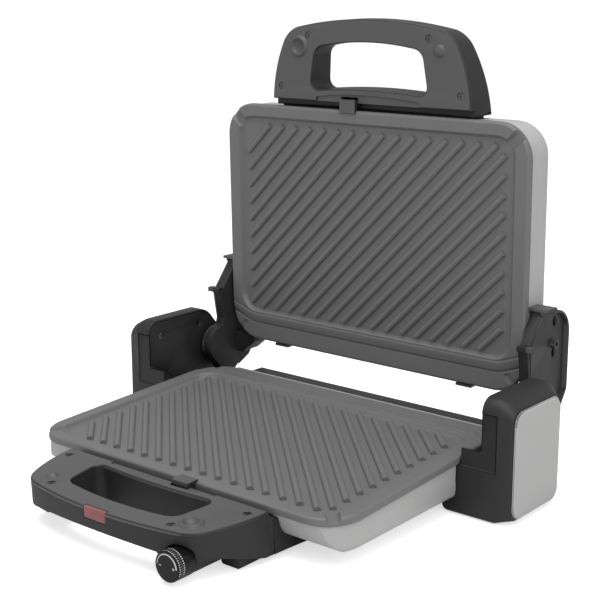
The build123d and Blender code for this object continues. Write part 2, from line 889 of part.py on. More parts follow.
def base_screws():
    """Four screws up through the bottom cover."""
    low = base_floor - touch_gap - bottom_thick
    screws = []
    for x, y in base_screw_places():
        head = rod_z(screw_head_radius, low - screw_head_thick, low, x, y)
        screws.append(head + rod_z(screw_radius, low, low + screw_length, x, y))
    return joined(screws)


def base_bottom():
    """The black cover under the base, with rows of vents."""
    side = plate_width / 2 - base_mouth_side + bottom_margin
    front = toe_back + seat_gap
    back = plate_depth + base_rear_reach - base_round
    top = base_floor - touch_gap
    plate = block(-side, side, front, back, top - bottom_thick, top)
    middle = (front + back) / 2
    for index in range(vent_count):
        x = (index - (vent_count - 1) / 2) * vent_pitch
        for row in (-1, 1):
            y = middle + row * vent_length * 3 / 4
            plate -= block(x - vent_width / 2, x + vent_width / 2, y - vent_length / 2,
                           y + vent_length / 2, 0, rim_height)
    for x, y in base_screw_places():
        plate -= rod_z(screw_radius + pin_gap, 0, rim_height, x, y)
    return plate


def tower_face(back, top, slope_start, shoulder, front, low, rounds):
    """The side view of a tower at one distance from the middle, with its low, top and rear rounds."""
    low_round, top_round, rear_round = rounds
    points = [(front, low), (front, top), (slope_start, top), (back, shoulder), (back, low)]
    rounds = (low_round, tower_front_round, top_round, rear_round, low_round)
    return rounded_face(points, zip(points, rounds))


def tower_profiles():
    """The tower's side view at its inner face, at its bevel and at its outer face."""
    inner_shoulder = tower_top - tower_slope * (tower_back - tower_slope_start)
    bevel_shoulder = tower_top - tower_slope * (tower_bevel_back - tower_slope_start)
    rounds = (tower_low_round, tower_top_curve, tower_rear_curve)
    inner = tower_face(tower_back, tower_top, tower_slope_start, inner_shoulder, tower_front,
                       pad_height, rounds)
    bevel = tower_face(tower_bevel_back, tower_top, tower_slope_start, bevel_shoulder, tower_front,
                       pad_height, rounds)
    outer = tower_face(tower_panel_back, tower_panel_top, tower_panel_slope_start, tower_panel_shoulder,
                       tower_panel_front, pad_height + tower_panel_rise,
                       (tower_panel_low_round, tower_top_round, tower_rear_round))
    return inner, bevel, outer


def at_x(face, x):
    """A side view stood at its distance from the middle."""
    return Plane.YZ.offset(x) * face


def tower_window():
    """The opening in the tower's inner wall that its cover fills."""
    bevel = tower_profiles()[1]
    face = offset(bevel, -cover_margin)
    above = make_face(Polyline((tower_front, cover_start), (cover_slope_back, cover_slope_end),
                               (cover_knee, cover_low), (tower_back, cover_low),
                               (tower_back, tower_top), (tower_front, tower_top), close=True))
    return face & above


def tower_caves():
    """The hollow of a tower and of its foot."""
    inner, bevel, outer = tower_profiles()
    wall = tower_wall
    small_bevel = offset(bevel, -wall)
    small_outer = offset(outer, -wall)
    cave = extrude(at_x(small_bevel, tower_inner + cover_thick), tower_bevel - tower_inner - cover_thick)
    cave += loft([at_x(small_bevel, tower_bevel), at_x(small_outer, tower_outer - wall)], ruled=True)
    inside = tower_inner + cover_thick + wall
    foot = along_y([(foot_end + 2 * wall, 0), (foot_end + 2 * wall, foot_lip - wall),
                    (foot_knee + wall, foot_knee_low), (foot_knee + wall, block_floor - wall),
                    (inside, block_floor - wall), (inside, 0)], tower_front + wall, foot_rear - wall)
    foot -= rod_x(hub_room + wall, foot_end, tower_inner, pivot_y, pivot_z)
    hatch = block(tower_inner + 2 * cover_thick, tower_bevel, tower_front + 2 * wall,
                  tower_bevel_back - 2 * wall, 0, block_floor)
    return cave + foot + hatch


def tower():
    """The right tower's outer shell with the foot that reaches under the plate's rim."""
    inner, bevel, outer = tower_profiles()
    body = loft([at_x(inner, tower_inner), at_x(bevel, tower_bevel)], ruled=True)
    body += loft([at_x(bevel, tower_bevel), at_x(outer, tower_outer)], ruled=True)
    foot = along_y([(foot_end, pad_height), (foot_end, foot_lip), (foot_knee, foot_knee_low),
                    (foot_knee, block_low), (block_inner, block_low), (block_inner, block_top),
                    (tower_inner, block_top), (tower_inner, pad_height)], tower_front, foot_rear,
                   [((foot_end, pad_height), foot_end_round)])
    ramp = along_x([(tower_front, pad_height), (tower_front, block_top),
                    (tower_front + block_face, block_top - seat_gap), (block_ramp_back, block_ramp_low),
                    (block_ramp_back, block_floor), (foot_rear, block_floor), (foot_rear, pad_height)],
                   foot_end, tower_inner,
                   [((tower_front, pad_height), tower_low_round), ((foot_rear, pad_height), tower_low_round)])
    foot = foot & ramp
    foot -= rod_x(hub_room, foot_end - overrun, tower_inner, pivot_y, pivot_z)
    body += foot
    body -= tower_caves()
    body -= extrude(at_x(tower_window(), tower_inner - overrun), cover_thick + overrun * 2)
    body -= block(foot_end, tower_bevel, tower_front - overrun, tower_front + front_recess, block_low,
                  tower_top - front_recess_drop)
    body -= rod_x(pin_post_radius + touch_gap, tower_inner - overrun, pin_outer + touch_gap, pivot_y, pivot_z)
    post_start = tower_inner + 2 * cover_thick + touch_gap
    for y, z in tower_screw_places:
        post = rod_x(screw_post_radius, post_start, tower_outer - tower_wall, y, z)
        body += post - rod_x(screw_radius + pin_gap, tower_inner, tower_outer - tower_wall, y, z)
    return body


def tower_cover():
    """The inset inner cover of the right tower, with the boss that holds the hinge pin."""
    face = offset(tower_window(), -touch_gap)
    plate = extrude(at_x(face, tower_inner), cover_thick)
    plate += rod_x(pin_post_radius, tower_inner, pin_outer, pivot_y, pivot_z)
    for y, z in tower_screw_places:
        plate += rod_x(screw_head_radius + moulded_wall, tower_inner, tower_inner + 2 * cover_thick, y, z)
        plate -= rod_x(screw_head_radius + seat_gap, tower_inner - overrun,
                       tower_inner + screw_sink * 2 + screw_head_thick, y, z)
        plate -= rod_x(screw_radius + pin_gap, tower_inner, tower_outer, y, z)
    return plate - rod_x(pin_radius + pin_gap, tower_inner - overrun, pin_outer + overrun, pivot_y, pivot_z)


def tower_screws():
    """Two screws that hold the right tower's inner cover."""
    screws = []
    head = tower_inner + screw_sink * 2
    neck = head + screw_head_thick
    for y, z in tower_screw_places:
        bolt = rod_x(screw_head_radius, head, neck, y, z)
        screws.append(bolt + rod_x(screw_radius, neck, neck + screw_length, y, z))
    return joined(screws)


def tower_bottom():
    """The plate that closes the right tower and its foot from below."""
    slice_low = block(foot_end, tower_outer, tower_front, tower_back, pad_height, pad_height + moulded_wall)
    return tower_caves() & slice_low


def side_panel():
    """The silver plate on the outside of the right tower."""
    outer = tower_profiles()[2]
    wide = at_x(offset(outer, -panel_margin), tower_outer)
    small = at_x(offset(outer, -panel_inset), tower_outer + panel_thick)
    return loft([wide, small], ruled=True)


def rear_housing():
    """The black bridge between the towers behind the base."""
    front = plate_depth + base_rear_reach + touch_gap
    back = tower_back
    outer = block(-rear_half, rear_half, front, back, rear_low, rear_end_height)
    outer += block(-rear_middle_half, rear_middle_half, front, back, rear_low, rear_middle_height)
    outer = fillet(outer.edges().filter_by(Axis.X).group_by(Axis.Y)[-1], rear_round)
    wall = moulded_wall
    cave = block(wall - rear_half, rear_half - wall, front - overrun, back - wall, rear_low + wall,
                 rear_end_height - wall)
    cave += block(wall - rear_middle_half, rear_middle_half - wall, front - overrun, back - wall,
                  rear_low + wall, rear_middle_height - wall)
    inlet = rod_y(inlet_radius + touch_gap, back - wall - overrun, back + overrun, -inlet_side, inlet_height)
    return outer - cave - inlet


def cord_gland():
    """The bush in the rear wall where the mains lead would enter."""
    wall = tower_back - moulded_wall
    body = rod_y(inlet_radius, wall - inlet_flange, tower_back, -inlet_side, inlet_height)
    body += rod_y(inlet_flange_radius, wall - inlet_flange - touch_gap, wall - touch_gap,
                  -inlet_side, inlet_height)
    return body - rod_y(inlet_bore, tower_back - far_cut, tower_back + overrun, -inlet_side, inlet_height)


def terminal_block():
    """The block where the mains lead and the heaters' wires meet, on the rear housing's floor."""
    low = rear_low + moulded_wall + touch_gap
    back = tower_back - moulded_wall - inlet_flange - seat_gap
    half = terminal_width / 2
    return block(-half, half, back - terminal_depth, back, low, low + terminal_height)


def lid_shell():
    """The silver tray of the lid."""
    inset = shell_inset
    outer = slab(inset, inset, inset, plate_corner - inset, shell_start, lid_depth)
    outer = fillet(outer.edges().group_by(Axis.Z)[-1], lid_round)
    deep = inset + sheet_wall
    inner = slab(deep, deep, deep, plate_corner - deep, shell_start - overrun, lid_depth - sheet_wall)
    inner = fillet(inner.edges().group_by(Axis.Z)[-1], lid_round - sheet_wall)
    shell = outer - inner
    shell -= block(-neck_half_width - seat_gap, neck_half_width + seat_gap, 0, inset + overrun * 2,
                   0, neck_height + seat_gap)
    half = hook_width / 2 + seat_gap
    for x in (-hook_middle, hook_middle):
        shell -= block(x - half, x + half, plate_depth - deep - overrun, plate_depth + overrun, 0,
                       shell_start + lid_frame_thick + seat_gap)
    low = reflector_level + reflector_sheet + touch_gap
    posts = [rod_z(post_radius, low, lid_depth - sheet_wall, x, y) for x, y in base_screw_places()]
    return joined([shell] + posts)


def lid_frame():
    """The flat ring inside the lid that carries plate, reflector and the hinge-side hooks."""
    deep = shell_inset + sheet_wall + seat_gap
    ring = slab(deep, deep, deep, plate_corner - deep, shell_start, shell_start + lid_frame_thick)
    ring -= slab(lid_frame_ring, lid_frame_ring, lid_frame_ring, recess_corner, 0, far_cut)
    hooks = []
    for x in (-hook_middle, hook_middle):
        root = block(x - hook_width / 2, x + hook_width / 2, plate_depth - lid_frame_ring / 2,
                     plate_depth + hook_reach, shell_start, shell_start + lid_frame_thick)
        claw = block(x - hook_width / 2, x + hook_width / 2, plate_depth + seat_gap,
                     plate_depth + hook_reach, shell_start - hook_over, shell_start)
        hooks.append(root + claw)
    return joined([ring] + hooks)


def arm_point(share):
    """A point of the arm's side view, from shares of its reach and its height about the pivot."""
    return (pivot_y + share[0] * arm_reach, pivot_z + share[1] * arm_height)


def arm_hub():
    """The lobed hub of an arm: a wide round and the boss about the pin."""
    hub = Pos(pivot_y - hub_forward, pivot_z + hub_up) * Circle(hub_radius)
    boss = Pos(pivot_y, pivot_z) * Circle(pivot_boss_radius)
    return make_hull(hub.edges() + boss.edges())


def arm_outline():
    """The side view of an arm with the lid open: hub, neck and tray."""
    points = [arm_point(share) for share in arm_outline_shares]
    face = make_face(Polyline(*points, close=True))
    rounds = ((points[2], arm_neck_round), (points[7], arm_end_round), (points[8], arm_back_round))
    for point, radius in rounds:
        face = fillet(face.vertices().sort_by_distance(point)[0], radius)
    return face + arm_hub()


def arm_ledge(x0, x1):
    """The short ledge across the front edge of an arm."""
    back = pivot_y - arm_ledge_back
    top = pivot_z + arm_ledge_share * arm_height
    return block(x0, x1, pivot_y - arm_ledge_forward, back, top - arm_ledge_thick, top)


def arm():
    """The inner half of the right arm: a shallow tray, its hub, and the root under the lid."""
    outline = arm_outline()
    inside = offset(outline, -arm_wall) - offset(arm_hub(), arm_wall)
    body = extrude(at_x(outline, arm_inner), arm_split - arm_inner)
    body -= extrude(at_x(inside, arm_inner + arm_wall), arm_split)
    body += arm_ledge(arm_inner + touch_gap, arm_split)
    for share in arm_screw_places_shares:
        y, z = arm_point(share)
        body += rod_x(arm_boss_radius, plate_width / 2 - shell_inset + touch_gap, arm_inner + arm_wall, y, z)
        body -= rod_x(screw_radius + pin_gap, 0, arm_split, y, z)
    near = plate_depth - shell_inset + root_start
    far = plate_depth + root_depth
    tip = (root_inner, plate_depth + root_tip_depth)
    heel = (root_inner + root_tip_width, far)
    outer = arm_inner + arm_wall
    face = rounded_face([(root_inner, near), (outer, near), (outer, far), heel, tip],
                        [(tip, arm_neck_round / 2), (heel, arm_neck_round)])
    root = Pos(0, 0, shell_start + seat_gap) * extrude(face, root_back - shell_start - seat_gap)
    body += on_lid(root)
    return body - rod_x(pin_radius + pin_gap, pin_inner - pin_gap, arm_split + overrun, pivot_y, pivot_z)


def arm_cover():
    """The outer half of the right arm: face, rim, end flange, and the boss against the tower."""
    outline = arm_outline()
    top = pivot_z + arm_height
    whole = extrude(at_x(outline, arm_split), arm_rim - arm_split)
    inside = extrude(at_x(offset(outline, -arm_wall), arm_face), arm_rim)
    inside += block(arm_face, far_cut, 0, pivot_y + arm_rim_start_share * arm_reach, 0, far_cut)
    body = whole - inside
    front = pivot_y + arm_end_front_share * arm_reach
    back = pivot_y + arm_reach - arm_end_round
    low = top - arm_end_thick
    body += block(plate_width / 2 - shell_inset + touch_gap, arm_rim, front, back, low, top)
    body += block(arm_split, arm_face, front, back, low - arm_wall, top)
    body += arm_ledge(arm_split, arm_rim)
    body += rod_x(pin_post_radius, arm_face, tower_inner - thrust_gap, pivot_y, pivot_z)
    for share in arm_screw_places_shares:
        y, z = arm_point(share)
        hole = extrude(at_x(Pos(y, z) * Ellipse(hole_radius, hole_tall), arm_split - overrun), arm_rim)
        body -= hole
    y, z = arm_point(arm_boss_share)
    body += rod_x(arm_boss_ring, arm_face, arm_face + arm_boss_height, y, z)
    body -= rod_x(arm_boss_hole, arm_split - overrun, arm_rim + overrun, y, z)
    return body - rod_x(pin_radius + pin_gap, arm_split - overrun, tower_inner, pivot_y, pivot_z)


def arm_screws():
    """Two screws that hold the right arm to the lid's side."""
    head = arm_inner + arm_wall
    screws = []
    for share in arm_screw_places_shares:
        y, z = arm_point(share)
        bolt = rod_x(screw_head_radius, head, head + screw_head_thick, y, z)
        screws.append(bolt + rod_x(screw_radius, head - screw_length, head, y, z))
    return joined(screws)


def lid_bosses():
    """Bosses inside the lid's sides that take the arm screws, and their holes."""
    side = plate_width / 2 - shell_inset
    bosses = []
    holes = []
    for share in arm_screw_places_shares:
        y, z = arm_point(share)
        bosses.append(rod_x(screw_post_radius, side - screw_length, side - sheet_wall / 2, y, z))
        holes.append(rod_x(screw_radius + pin_gap, 0, side + overrun, y, z))
    return joined(bosses), joined(holes)


def hinge_pin():
    """The right hinge pin, held in the tower's cover and turning in the arm."""
    return rod_x(pin_radius, pin_inner, pin_outer, pivot_y, pivot_z)


def knob():
    """The temperature knob: a round cap with a softened front edge."""
    back = -boss_front - seat_gap
    body = rod_y(knob_radius, back - knob_length, back, knob_side, knob_height)
    front = body.edges().filter_by(GeomType.CIRCLE).group_by(Axis.Y)[0]
    body = fillet(front, knob_round)
    bore_end = back - shaft_in_knob - pin_gap
    return body - rod_y(shaft_radius + pin_gap, bore_end, back + overrun, knob_side, knob_height)


def knob_shaft():
    """The spindle from the knob into the thermostat."""
    front = -boss_front - seat_gap - shaft_in_knob
    return rod_y(shaft_radius, front, -thermostat_front + shaft_in_thermostat, knob_side, knob_height)


def thermostat():
    """The temperature control inside the right leg of the handle."""
    body = block(knob_side - thermostat_width / 2, knob_side + thermostat_width / 2, -thermostat_front,
                 thermostat_depth - thermostat_front, thermostat_seat, thermostat_seat + thermostat_height)
    hole = rod_y(shaft_radius + pin_gap, -thermostat_front - overrun,
                 -thermostat_front + shaft_in_thermostat + pin_gap, knob_side, knob_height)
    return body - hole


def rubber_feet():
    """Six pads: two under each tower and one under each front foot."""
    pads = []
    inner, outer = foot_end + pad_margin * 2, tower_bevel - pad_margin
    for y in (tower_front + tower_front_round, foot_rear - tower_front_round - pad_width):
        pads.append(block(inner, outer, y, y + pad_width, 0, pad_height))
    pads.append(block(foot_inner + pad_margin, foot_outer - pad_margin, pad_margin - foot_back, -pad_margin,
                      0, pad_height))
    return joined(pads + [mirror(pad, about=Plane.YZ) for pad in pads])


def pair(name, shape):
    """Files a right-hand piece and its mirror image on the left."""
    parts[name + "_right"] = shape
    parts[name + "_left"] = mirror(shape, about=Plane.YZ)


def over(shape):
    """Turns a piece of the lower half upside down, for the lid."""
    return mirror(shape, about=Plane.XY)


parts["lower_plate"] = on_base(grill_plate())
parts["upper_plate"] = on_lid(over(grill_plate()))
parts["lower_heating_element"] = on_base(heater())
parts["upper_heating_element"] = on_lid(over(heater()))
parts["lower_reflector"] = on_base(reflector())
parts["upper_reflector"] = on_lid(over(reflector()))
parts["lower_thermal_fuse"] = on_base(thermal_fuse())
parts["upper_thermal_fuse"] = on_lid(over(thermal_fuse()))

parts["base_shell"] = base_shell()
parts["base_bottom_cover"] = base_bottom()
parts["base_screws"] = base_screws()
parts["rear_housing"] = rear_housing()
parts["cord_gland"] = cord_gland()
parts["terminal_block"] = terminal_block()
parts["rubber_feet"] = rubber_feet()

parts["lower_handle_shell"] = lower_handle_shell()
parts["lower_handle_face"] = on_base(handle_face(1) - lens_room())
parts["lower_handle_screws"] = on_base(handle_screws())
parts["lower_latch"] = on_base(latch())
parts["lower_latch_spring"] = on_base(latch_spring())
parts["indicator_lens"] = on_base(indicator_lens())
parts["indicator_lamp"] = on_base(indicator_lamp())
parts["temperature_knob"] = knob()
parts["knob_shaft"] = knob_shaft()
parts["thermostat"] = thermostat()

pair("tower_shell", tower())
pair("tower_inner_cover", tower_cover())
pair("tower_bottom_plate", tower_bottom())
pair("tower_side_panel", side_panel())
parts["tower_screws"] = joined(both_sides(tower_screws()))
pair("hinge_pin", hinge_pin())

bosses, boss_holes = lid_bosses()
lid = on_lid(lid_shell()) + joined(both_sides(bosses)) - joined(both_sides(boss_holes))
parts["lid_shell"] = lid
parts["lid_frame"] = on_lid(lid_frame())
parts["upper_handle_shell"] = on_lid(over(upper_handle_shell()))
parts["upper_handle_face"] = on_lid(over(handle_face(-1)))
parts["upper_handle_screws"] = on_lid(over(handle_screws()))
parts["upper_latch"] = on_lid(mirror(over(latch()), about=Plane.YZ))
parts["upper_latch_spring"] = on_lid(mirror(over(latch_spring()), about=Plane.YZ))
pair("lid_arm", arm())
pair("lid_arm_cover", arm_cover())
parts["lid_arm_screws"] = joined(both_sides(arm_screws()))

boxes = [shape.bounding_box() for shape in parts.values()]
front_end = min(box.min.Y for box in boxes)
back_end = max(box.max.Y for box in boxes)
shift = -(front_end + back_end) / 2
for name, shape in parts.items():
    placed = Pos(0, shift, 0) * shape
    export_step(placed, "parts/" + name + ".step")

low_corner = [min(getattr(box.min, axis) for box in boxes) for axis in "XYZ"]
high_corner = [max(getattr(box.max, axis) for box in boxes) for axis in "XYZ"]
print("pieces", len(parts))
print("size", [round(high - low, 2) for low, high in zip(low_corner, high_corner)])
print("lowest point", round(low_corner[2], 3), "moved along Y by", round(shift, 3))
print("hinge axis at y", round(pivot_y + shift, 3), "z", round(pivot_z, 3))
print("knob axis at x", knob_side, "z", knob_height, "front y", round(shift - boss_front, 3))
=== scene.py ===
# %% [markdown]
# A sandwich maker with two wide grill plates stands open on a pale table. Its parts come from CAD
# and arrive as a fixed frame, one object for every node, in metres. This lesson gives them their
# surface: it rounds the edges that a mould rounds, casts the grill plates with their ribs, prints
# the knob and paints glints on its rim, paints shade along the edges of the handle covers, and
# mixes one material for each real finish.

# %% The frame, and one unit of length
import bpy, bmesh, json, math
from mathutils import Matrix, Vector

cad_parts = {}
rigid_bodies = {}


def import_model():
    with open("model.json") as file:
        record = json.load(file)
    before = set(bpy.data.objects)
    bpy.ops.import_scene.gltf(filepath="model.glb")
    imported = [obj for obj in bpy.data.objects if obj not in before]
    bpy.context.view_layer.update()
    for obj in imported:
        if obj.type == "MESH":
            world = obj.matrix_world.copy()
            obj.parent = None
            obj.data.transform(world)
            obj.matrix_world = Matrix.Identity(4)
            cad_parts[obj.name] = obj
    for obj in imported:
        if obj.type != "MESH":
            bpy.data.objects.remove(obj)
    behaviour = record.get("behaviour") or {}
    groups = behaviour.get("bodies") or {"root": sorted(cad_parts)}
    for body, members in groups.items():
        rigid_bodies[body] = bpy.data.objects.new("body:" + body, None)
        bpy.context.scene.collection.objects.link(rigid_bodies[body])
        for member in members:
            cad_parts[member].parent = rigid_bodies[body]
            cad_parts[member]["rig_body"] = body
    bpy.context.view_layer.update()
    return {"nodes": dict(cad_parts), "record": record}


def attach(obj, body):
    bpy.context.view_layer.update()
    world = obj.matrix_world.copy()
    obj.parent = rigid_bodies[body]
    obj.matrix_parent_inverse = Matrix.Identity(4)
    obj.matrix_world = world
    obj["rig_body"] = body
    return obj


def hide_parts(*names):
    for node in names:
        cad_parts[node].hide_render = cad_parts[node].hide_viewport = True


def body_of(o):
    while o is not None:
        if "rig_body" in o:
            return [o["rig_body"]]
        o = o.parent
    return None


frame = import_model()
mm = 0.001
scene = bpy.context.scene
print("nodes from CAD:", len(frame["nodes"]))

# %% [markdown]
# The photograph was taken from the front right and a little above, with a long lens. A camera can be
# placed by eye, or worked out from straight lines. This one was worked out, so that the edges of the
# plates and towers run as they do in the picture. Its place is given in millimetres from the middle
# of the footprint, and it turns about two angles.

# %% The camera
camera_place = Vector((732.6, -839.05, 435.3)) * mm
camera_turn, camera_tilt = math.radians(39.37), math.radians(13.43)
sensor_width, focal_length, sight = 36.0, 79.5, 20.0
lens = bpy.data.cameras.new("camera")
lens.sensor_width = sensor_width
lens.lens = focal_length
lens.clip_end = sight
camera = bpy.data.objects.new("camera", lens)
camera.location = camera_place
camera.rotation_euler = (math.pi / 2 - camera_tilt, 0.0, camera_turn)
scene.collection.objects.link(camera)
scene.camera = camera
print("camera at", [round(v, 3) for v in camera.location])

# %% [markdown]
# The lower half slopes a little to the front, so that what drips runs forward. The lid is the same
# shape turned over and swung up about the hinge. Every point could be worked out in the room, but it
# is simpler to draw a plate flat, with its front rim on the X axis, and to let a matrix put it where
# it belongs. One matrix serves the lower half and one the lid.

# %% Where the lower half and the lid lie
plate_width, plate_depth, plate_corner = 345.0, 242.0, 32.0
rim_height, drain_slope, closing_gap = 55.0, 2.58, 2.0
pivot_back, pivot_drop, open_angle = 23.8, 0.8, 91.34
middle_shift = -114.55


def move(x, y, z):
    return Matrix.Translation(Vector((x, y, z)))


def turn_x(degrees):
    return Matrix.Rotation(math.radians(degrees), 4, "X")


hinge = Vector((0, plate_depth + pivot_back, rim_height - pivot_drop))
slope = move(0, plate_depth, rim_height) @ turn_x(drain_slope) @ move(0, -plate_depth, 0)
swing = move(*hinge) @ turn_x(-open_angle) @ move(*(-hinge))
turned_over = move(0, 0, closing_gap) @ Matrix.Diagonal((1, 1, -1, 1))
on_table = Matrix.Scale(mm, 4) @ move(0, middle_shift, 0)
on_base = on_table @ slope
on_lid = on_table @ swing @ slope @ turned_over
print("hinge line at", [round(v, 4) for v in on_table @ hinge])

# %% [markdown]
# Materials, the world and the repeated pieces are all trees of nodes. Written out, every node takes
# a line for each setting and each link. Three helpers shorten that: one adds a node and fills its
# inputs with values or with the outputs of other nodes, one does so for a math node, and one names
# the inputs and outputs of a group.

# %% Helpers for node trees
def wired(tree, kind, inputs=(), **settings):
    """A node whose inputs are values or output sockets, keyed by name or number."""
    node = tree.nodes.new(kind)
    for key, value in settings.items():
        setattr(node, key, value)
    for key, value in dict(inputs).items():
        if isinstance(value, bpy.types.NodeSocket):
            tree.links.new(value, node.inputs[key])
        else:
            node.inputs[key].default_value = value
    return node


def calc(tree, operation, first, second=0.0):
    """The output of a math node."""
    return wired(tree, "ShaderNodeMath", {0: first, 1: second}, operation=operation).outputs[0]


def add_sockets(tree, way, *rows):
    """Inputs or outputs of a group, from rows of a label, a kind and a default value."""
    for label, kind, value in rows:
        socket = tree.interface.new_socket(label, in_out=way, socket_type="NodeSocket" + kind)
        if value is not None:
            socket.default_value = value


print("helpers:", wired.__name__, calc.__name__, add_sockets.__name__)

# %% [markdown]
# A product picture on white has soft light from everywhere and a stronger one from above, which
# gives the mouldings a direction. A picture of a studio as the world would do that too, but plain
# values are easier to balance: the world is a mid grey to the object and white to the camera, and
# three square lamps hang above, on the right and on the left.

# %% World and lamps
scene.view_settings.view_transform = "Standard"
sky_color, sky_strength = (1.0, 0.995, 0.985, 1.0), 0.52
white, white_strength = (1.0, 1.0, 1.0, 1.0), 1.0
world = bpy.data.worlds.new("studio")
scene.world = world
world.use_nodes = True
sky = world.node_tree
sky.nodes.clear()
soft = wired(sky, "ShaderNodeBackground", {"Color": sky_color, "Strength": sky_strength})
plain = wired(sky, "ShaderNodeBackground", {"Color": white, "Strength": white_strength})
seen = wired(sky, "ShaderNodeLightPath").outputs["Is Camera Ray"]
mixed = wired(sky, "ShaderNodeMixShader", {0: seen, 1: soft.outputs[0], 2: plain.outputs[0]})
wired(sky, "ShaderNodeOutputWorld", {"Surface": mixed.outputs[0]})


def area_light(name, place, target, size, power):
    """A square soft light in metres and watts, aimed at a point."""
    data = bpy.data.lights.new(name, "AREA")
    data.size = size
    data.energy = power
    lamp = bpy.data.objects.new(name, data)
    lamp.location = place
    lamp.rotation_euler = (Vector(target) - Vector(place)).to_track_quat("-Z", "Y").to_euler()
    scene.collection.objects.link(lamp)


area_light("top_light", place=(0.15, -0.25, 1.9), target=(0.0, 0.0, 0.1), size=1.5, power=23.0)
area_light("right_light", place=(1.35, -0.6, 1.15), target=(0.0, 0.0, 0.2), size=1.0, power=8.5)
area_light("left_light", place=(-1.5, -1.5, 1.0), target=(0.0, 0.0, 0.15), size=1.2, power=3.0)

# %% [markdown]
# The table is a pale matte sheet. More light would make it white, but would bleach the object with
# it. So the sheet has an ordinary matte skin for all light that bounces, and a faint glow that only
# the camera sees lifts it to white. The shadow under the machine stays.

# %% The table
table_half, table_color, table_roughness, table_glow = 30.0, (0.82, 0.82, 0.82, 1.0), 0.9, 0.62
corners = [(x * table_half, y * table_half, 0) for x, y in ((-1, -1), (1, -1), (1, 1), (-1, 1))]
floor_mesh = bpy.data.meshes.new("floor")
floor_mesh.from_pydata(corners, [], [(0, 1, 2, 3)])
floor = bpy.data.objects.new("floor", floor_mesh)
scene.collection.objects.link(floor)
pale = bpy.data.materials.new("pale_table")
pale.use_nodes = True
pale_tree = pale.node_tree
matte = pale_tree.nodes["Principled BSDF"]
for label, value in (("Base Color", table_color), ("Roughness", table_roughness),
                     ("Specular IOR Level", 0.0)):
    matte.inputs[label].default_value = value
glow = wired(pale_tree, "ShaderNodeEmission", {"Strength": table_glow})
lifted = wired(pale_tree, "ShaderNodeAddShader", {0: matte.outputs[0], 1: glow.outputs[0]})
seen = wired(pale_tree, "ShaderNodeLightPath").outputs["Is Camera Ray"]
pick = wired(pale_tree, "ShaderNodeMixShader", {0: seen, 1: matte.outputs[0], 2: lifted.outputs[0]})
pale_tree.links.new(pick.outputs[0], pale_tree.nodes["Material Output"].inputs["Surface"])
floor_mesh.materials.append(pale)
print("table material with", len(pale_tree.nodes), "nodes")

# %% [markdown]
# Moulded plastic, cast metal and paint all have a skin that is finer than their shape. Painted
# textures would need maps for every piece, so noise makes it instead. One group holds two noises: a
# fine grain for the bump, and slow clouds that shift the colour and the roughness by a few percent.
# Every material takes the group with its own sizes.

# %% A shared skin: grain and clouds
skin = bpy.data.node_groups.new("moulded_skin", "ShaderNodeTree")
add_sockets(skin, "INPUT", ("Grain Scale", "Float", 1800.0), ("Cloud Scale", "Float", 14.0),
            ("Cloud Strength", "Float", 0.06), ("Roughness", "Float", 0.5),
            ("Roughness Spread", "Float", 0.06), ("Color", "Color", None))
add_sockets(skin, "OUTPUT", ("Color", "Color", None), ("Roughness", "Float", None), ("Height", "Float", None))
given = wired(skin, "NodeGroupInput").outputs
spot = wired(skin, "ShaderNodeTexCoord").outputs["Object"]
grain = wired(skin, "ShaderNodeTexNoise", {"Vector": spot, "Scale": given["Grain Scale"], "Detail": 2.0,
                                           "Roughness": 0.6})
clouds = wired(skin, "ShaderNodeTexNoise", {"Vector": spot, "Scale": given["Cloud Scale"], "Detail": 3.0,
                                            "Roughness": 0.55})
swing_of_clouds = calc(skin, "MULTIPLY", calc(skin, "SUBTRACT", clouds.outputs[0], 0.5), 2.0)
lift = calc(skin, "ADD", calc(skin, "MULTIPLY", swing_of_clouds, given["Cloud Strength"]), 1.0)
shade = wired(skin, "ShaderNodeVectorMath", {0: given["Color"], "Scale": lift}, operation="SCALE")
rougher = calc(skin, "MULTIPLY", swing_of_clouds, given["Roughness Spread"])
wired(skin, "NodeGroupOutput", {"Color": shade.outputs[0], "Height": grain.outputs[0],
                                "Roughness": calc(skin, "ADD", given["Roughness"], rougher)})
print("group", skin.name, "with", len(skin.nodes), "nodes")

# %% [markdown]
# A finish is a colour, a roughness and a depth of grain. Thirteen separate trees would say the same
# thing thirteen times, so one function wires the shared skin into a Principled shader, and what is
# the same all over a piece is set on the shader itself. The function is called once for each finish.

# %% The finishes of the sandwich maker
bump_height, roughness_spread = 0.1, 0.05


def finish(name, color, roughness, grain_scale=1800.0, grain_depth=0.15, cloud=0.05, **shader):
    """One material: the shared skin in front of a Principled shader."""
    material = bpy.data.materials.new(name)
    material.use_nodes = True
    tree = material.node_tree
    bsdf = tree.nodes["Principled BSDF"]
    sizes = {"Color": (*color, 1.0), "Roughness": roughness, "Roughness Spread": roughness_spread,
             "Grain Scale": grain_scale, "Cloud Strength": cloud}
    group = wired(tree, "ShaderNodeGroup", sizes, node_tree=skin)
    bump = wired(tree, "ShaderNodeBump", {"Strength": grain_depth, "Distance": bump_height * mm,
                                          "Height": group.outputs["Height"]})
    tree.links.new(group.outputs["Color"], bsdf.inputs["Base Color"])
    tree.links.new(group.outputs["Roughness"], bsdf.inputs["Roughness"])
    tree.links.new(bump.outputs[0], bsdf.inputs["Normal"])
    for key, value in shader.items():
        bsdf.inputs[key.replace("_", " ")].default_value = value
    return material


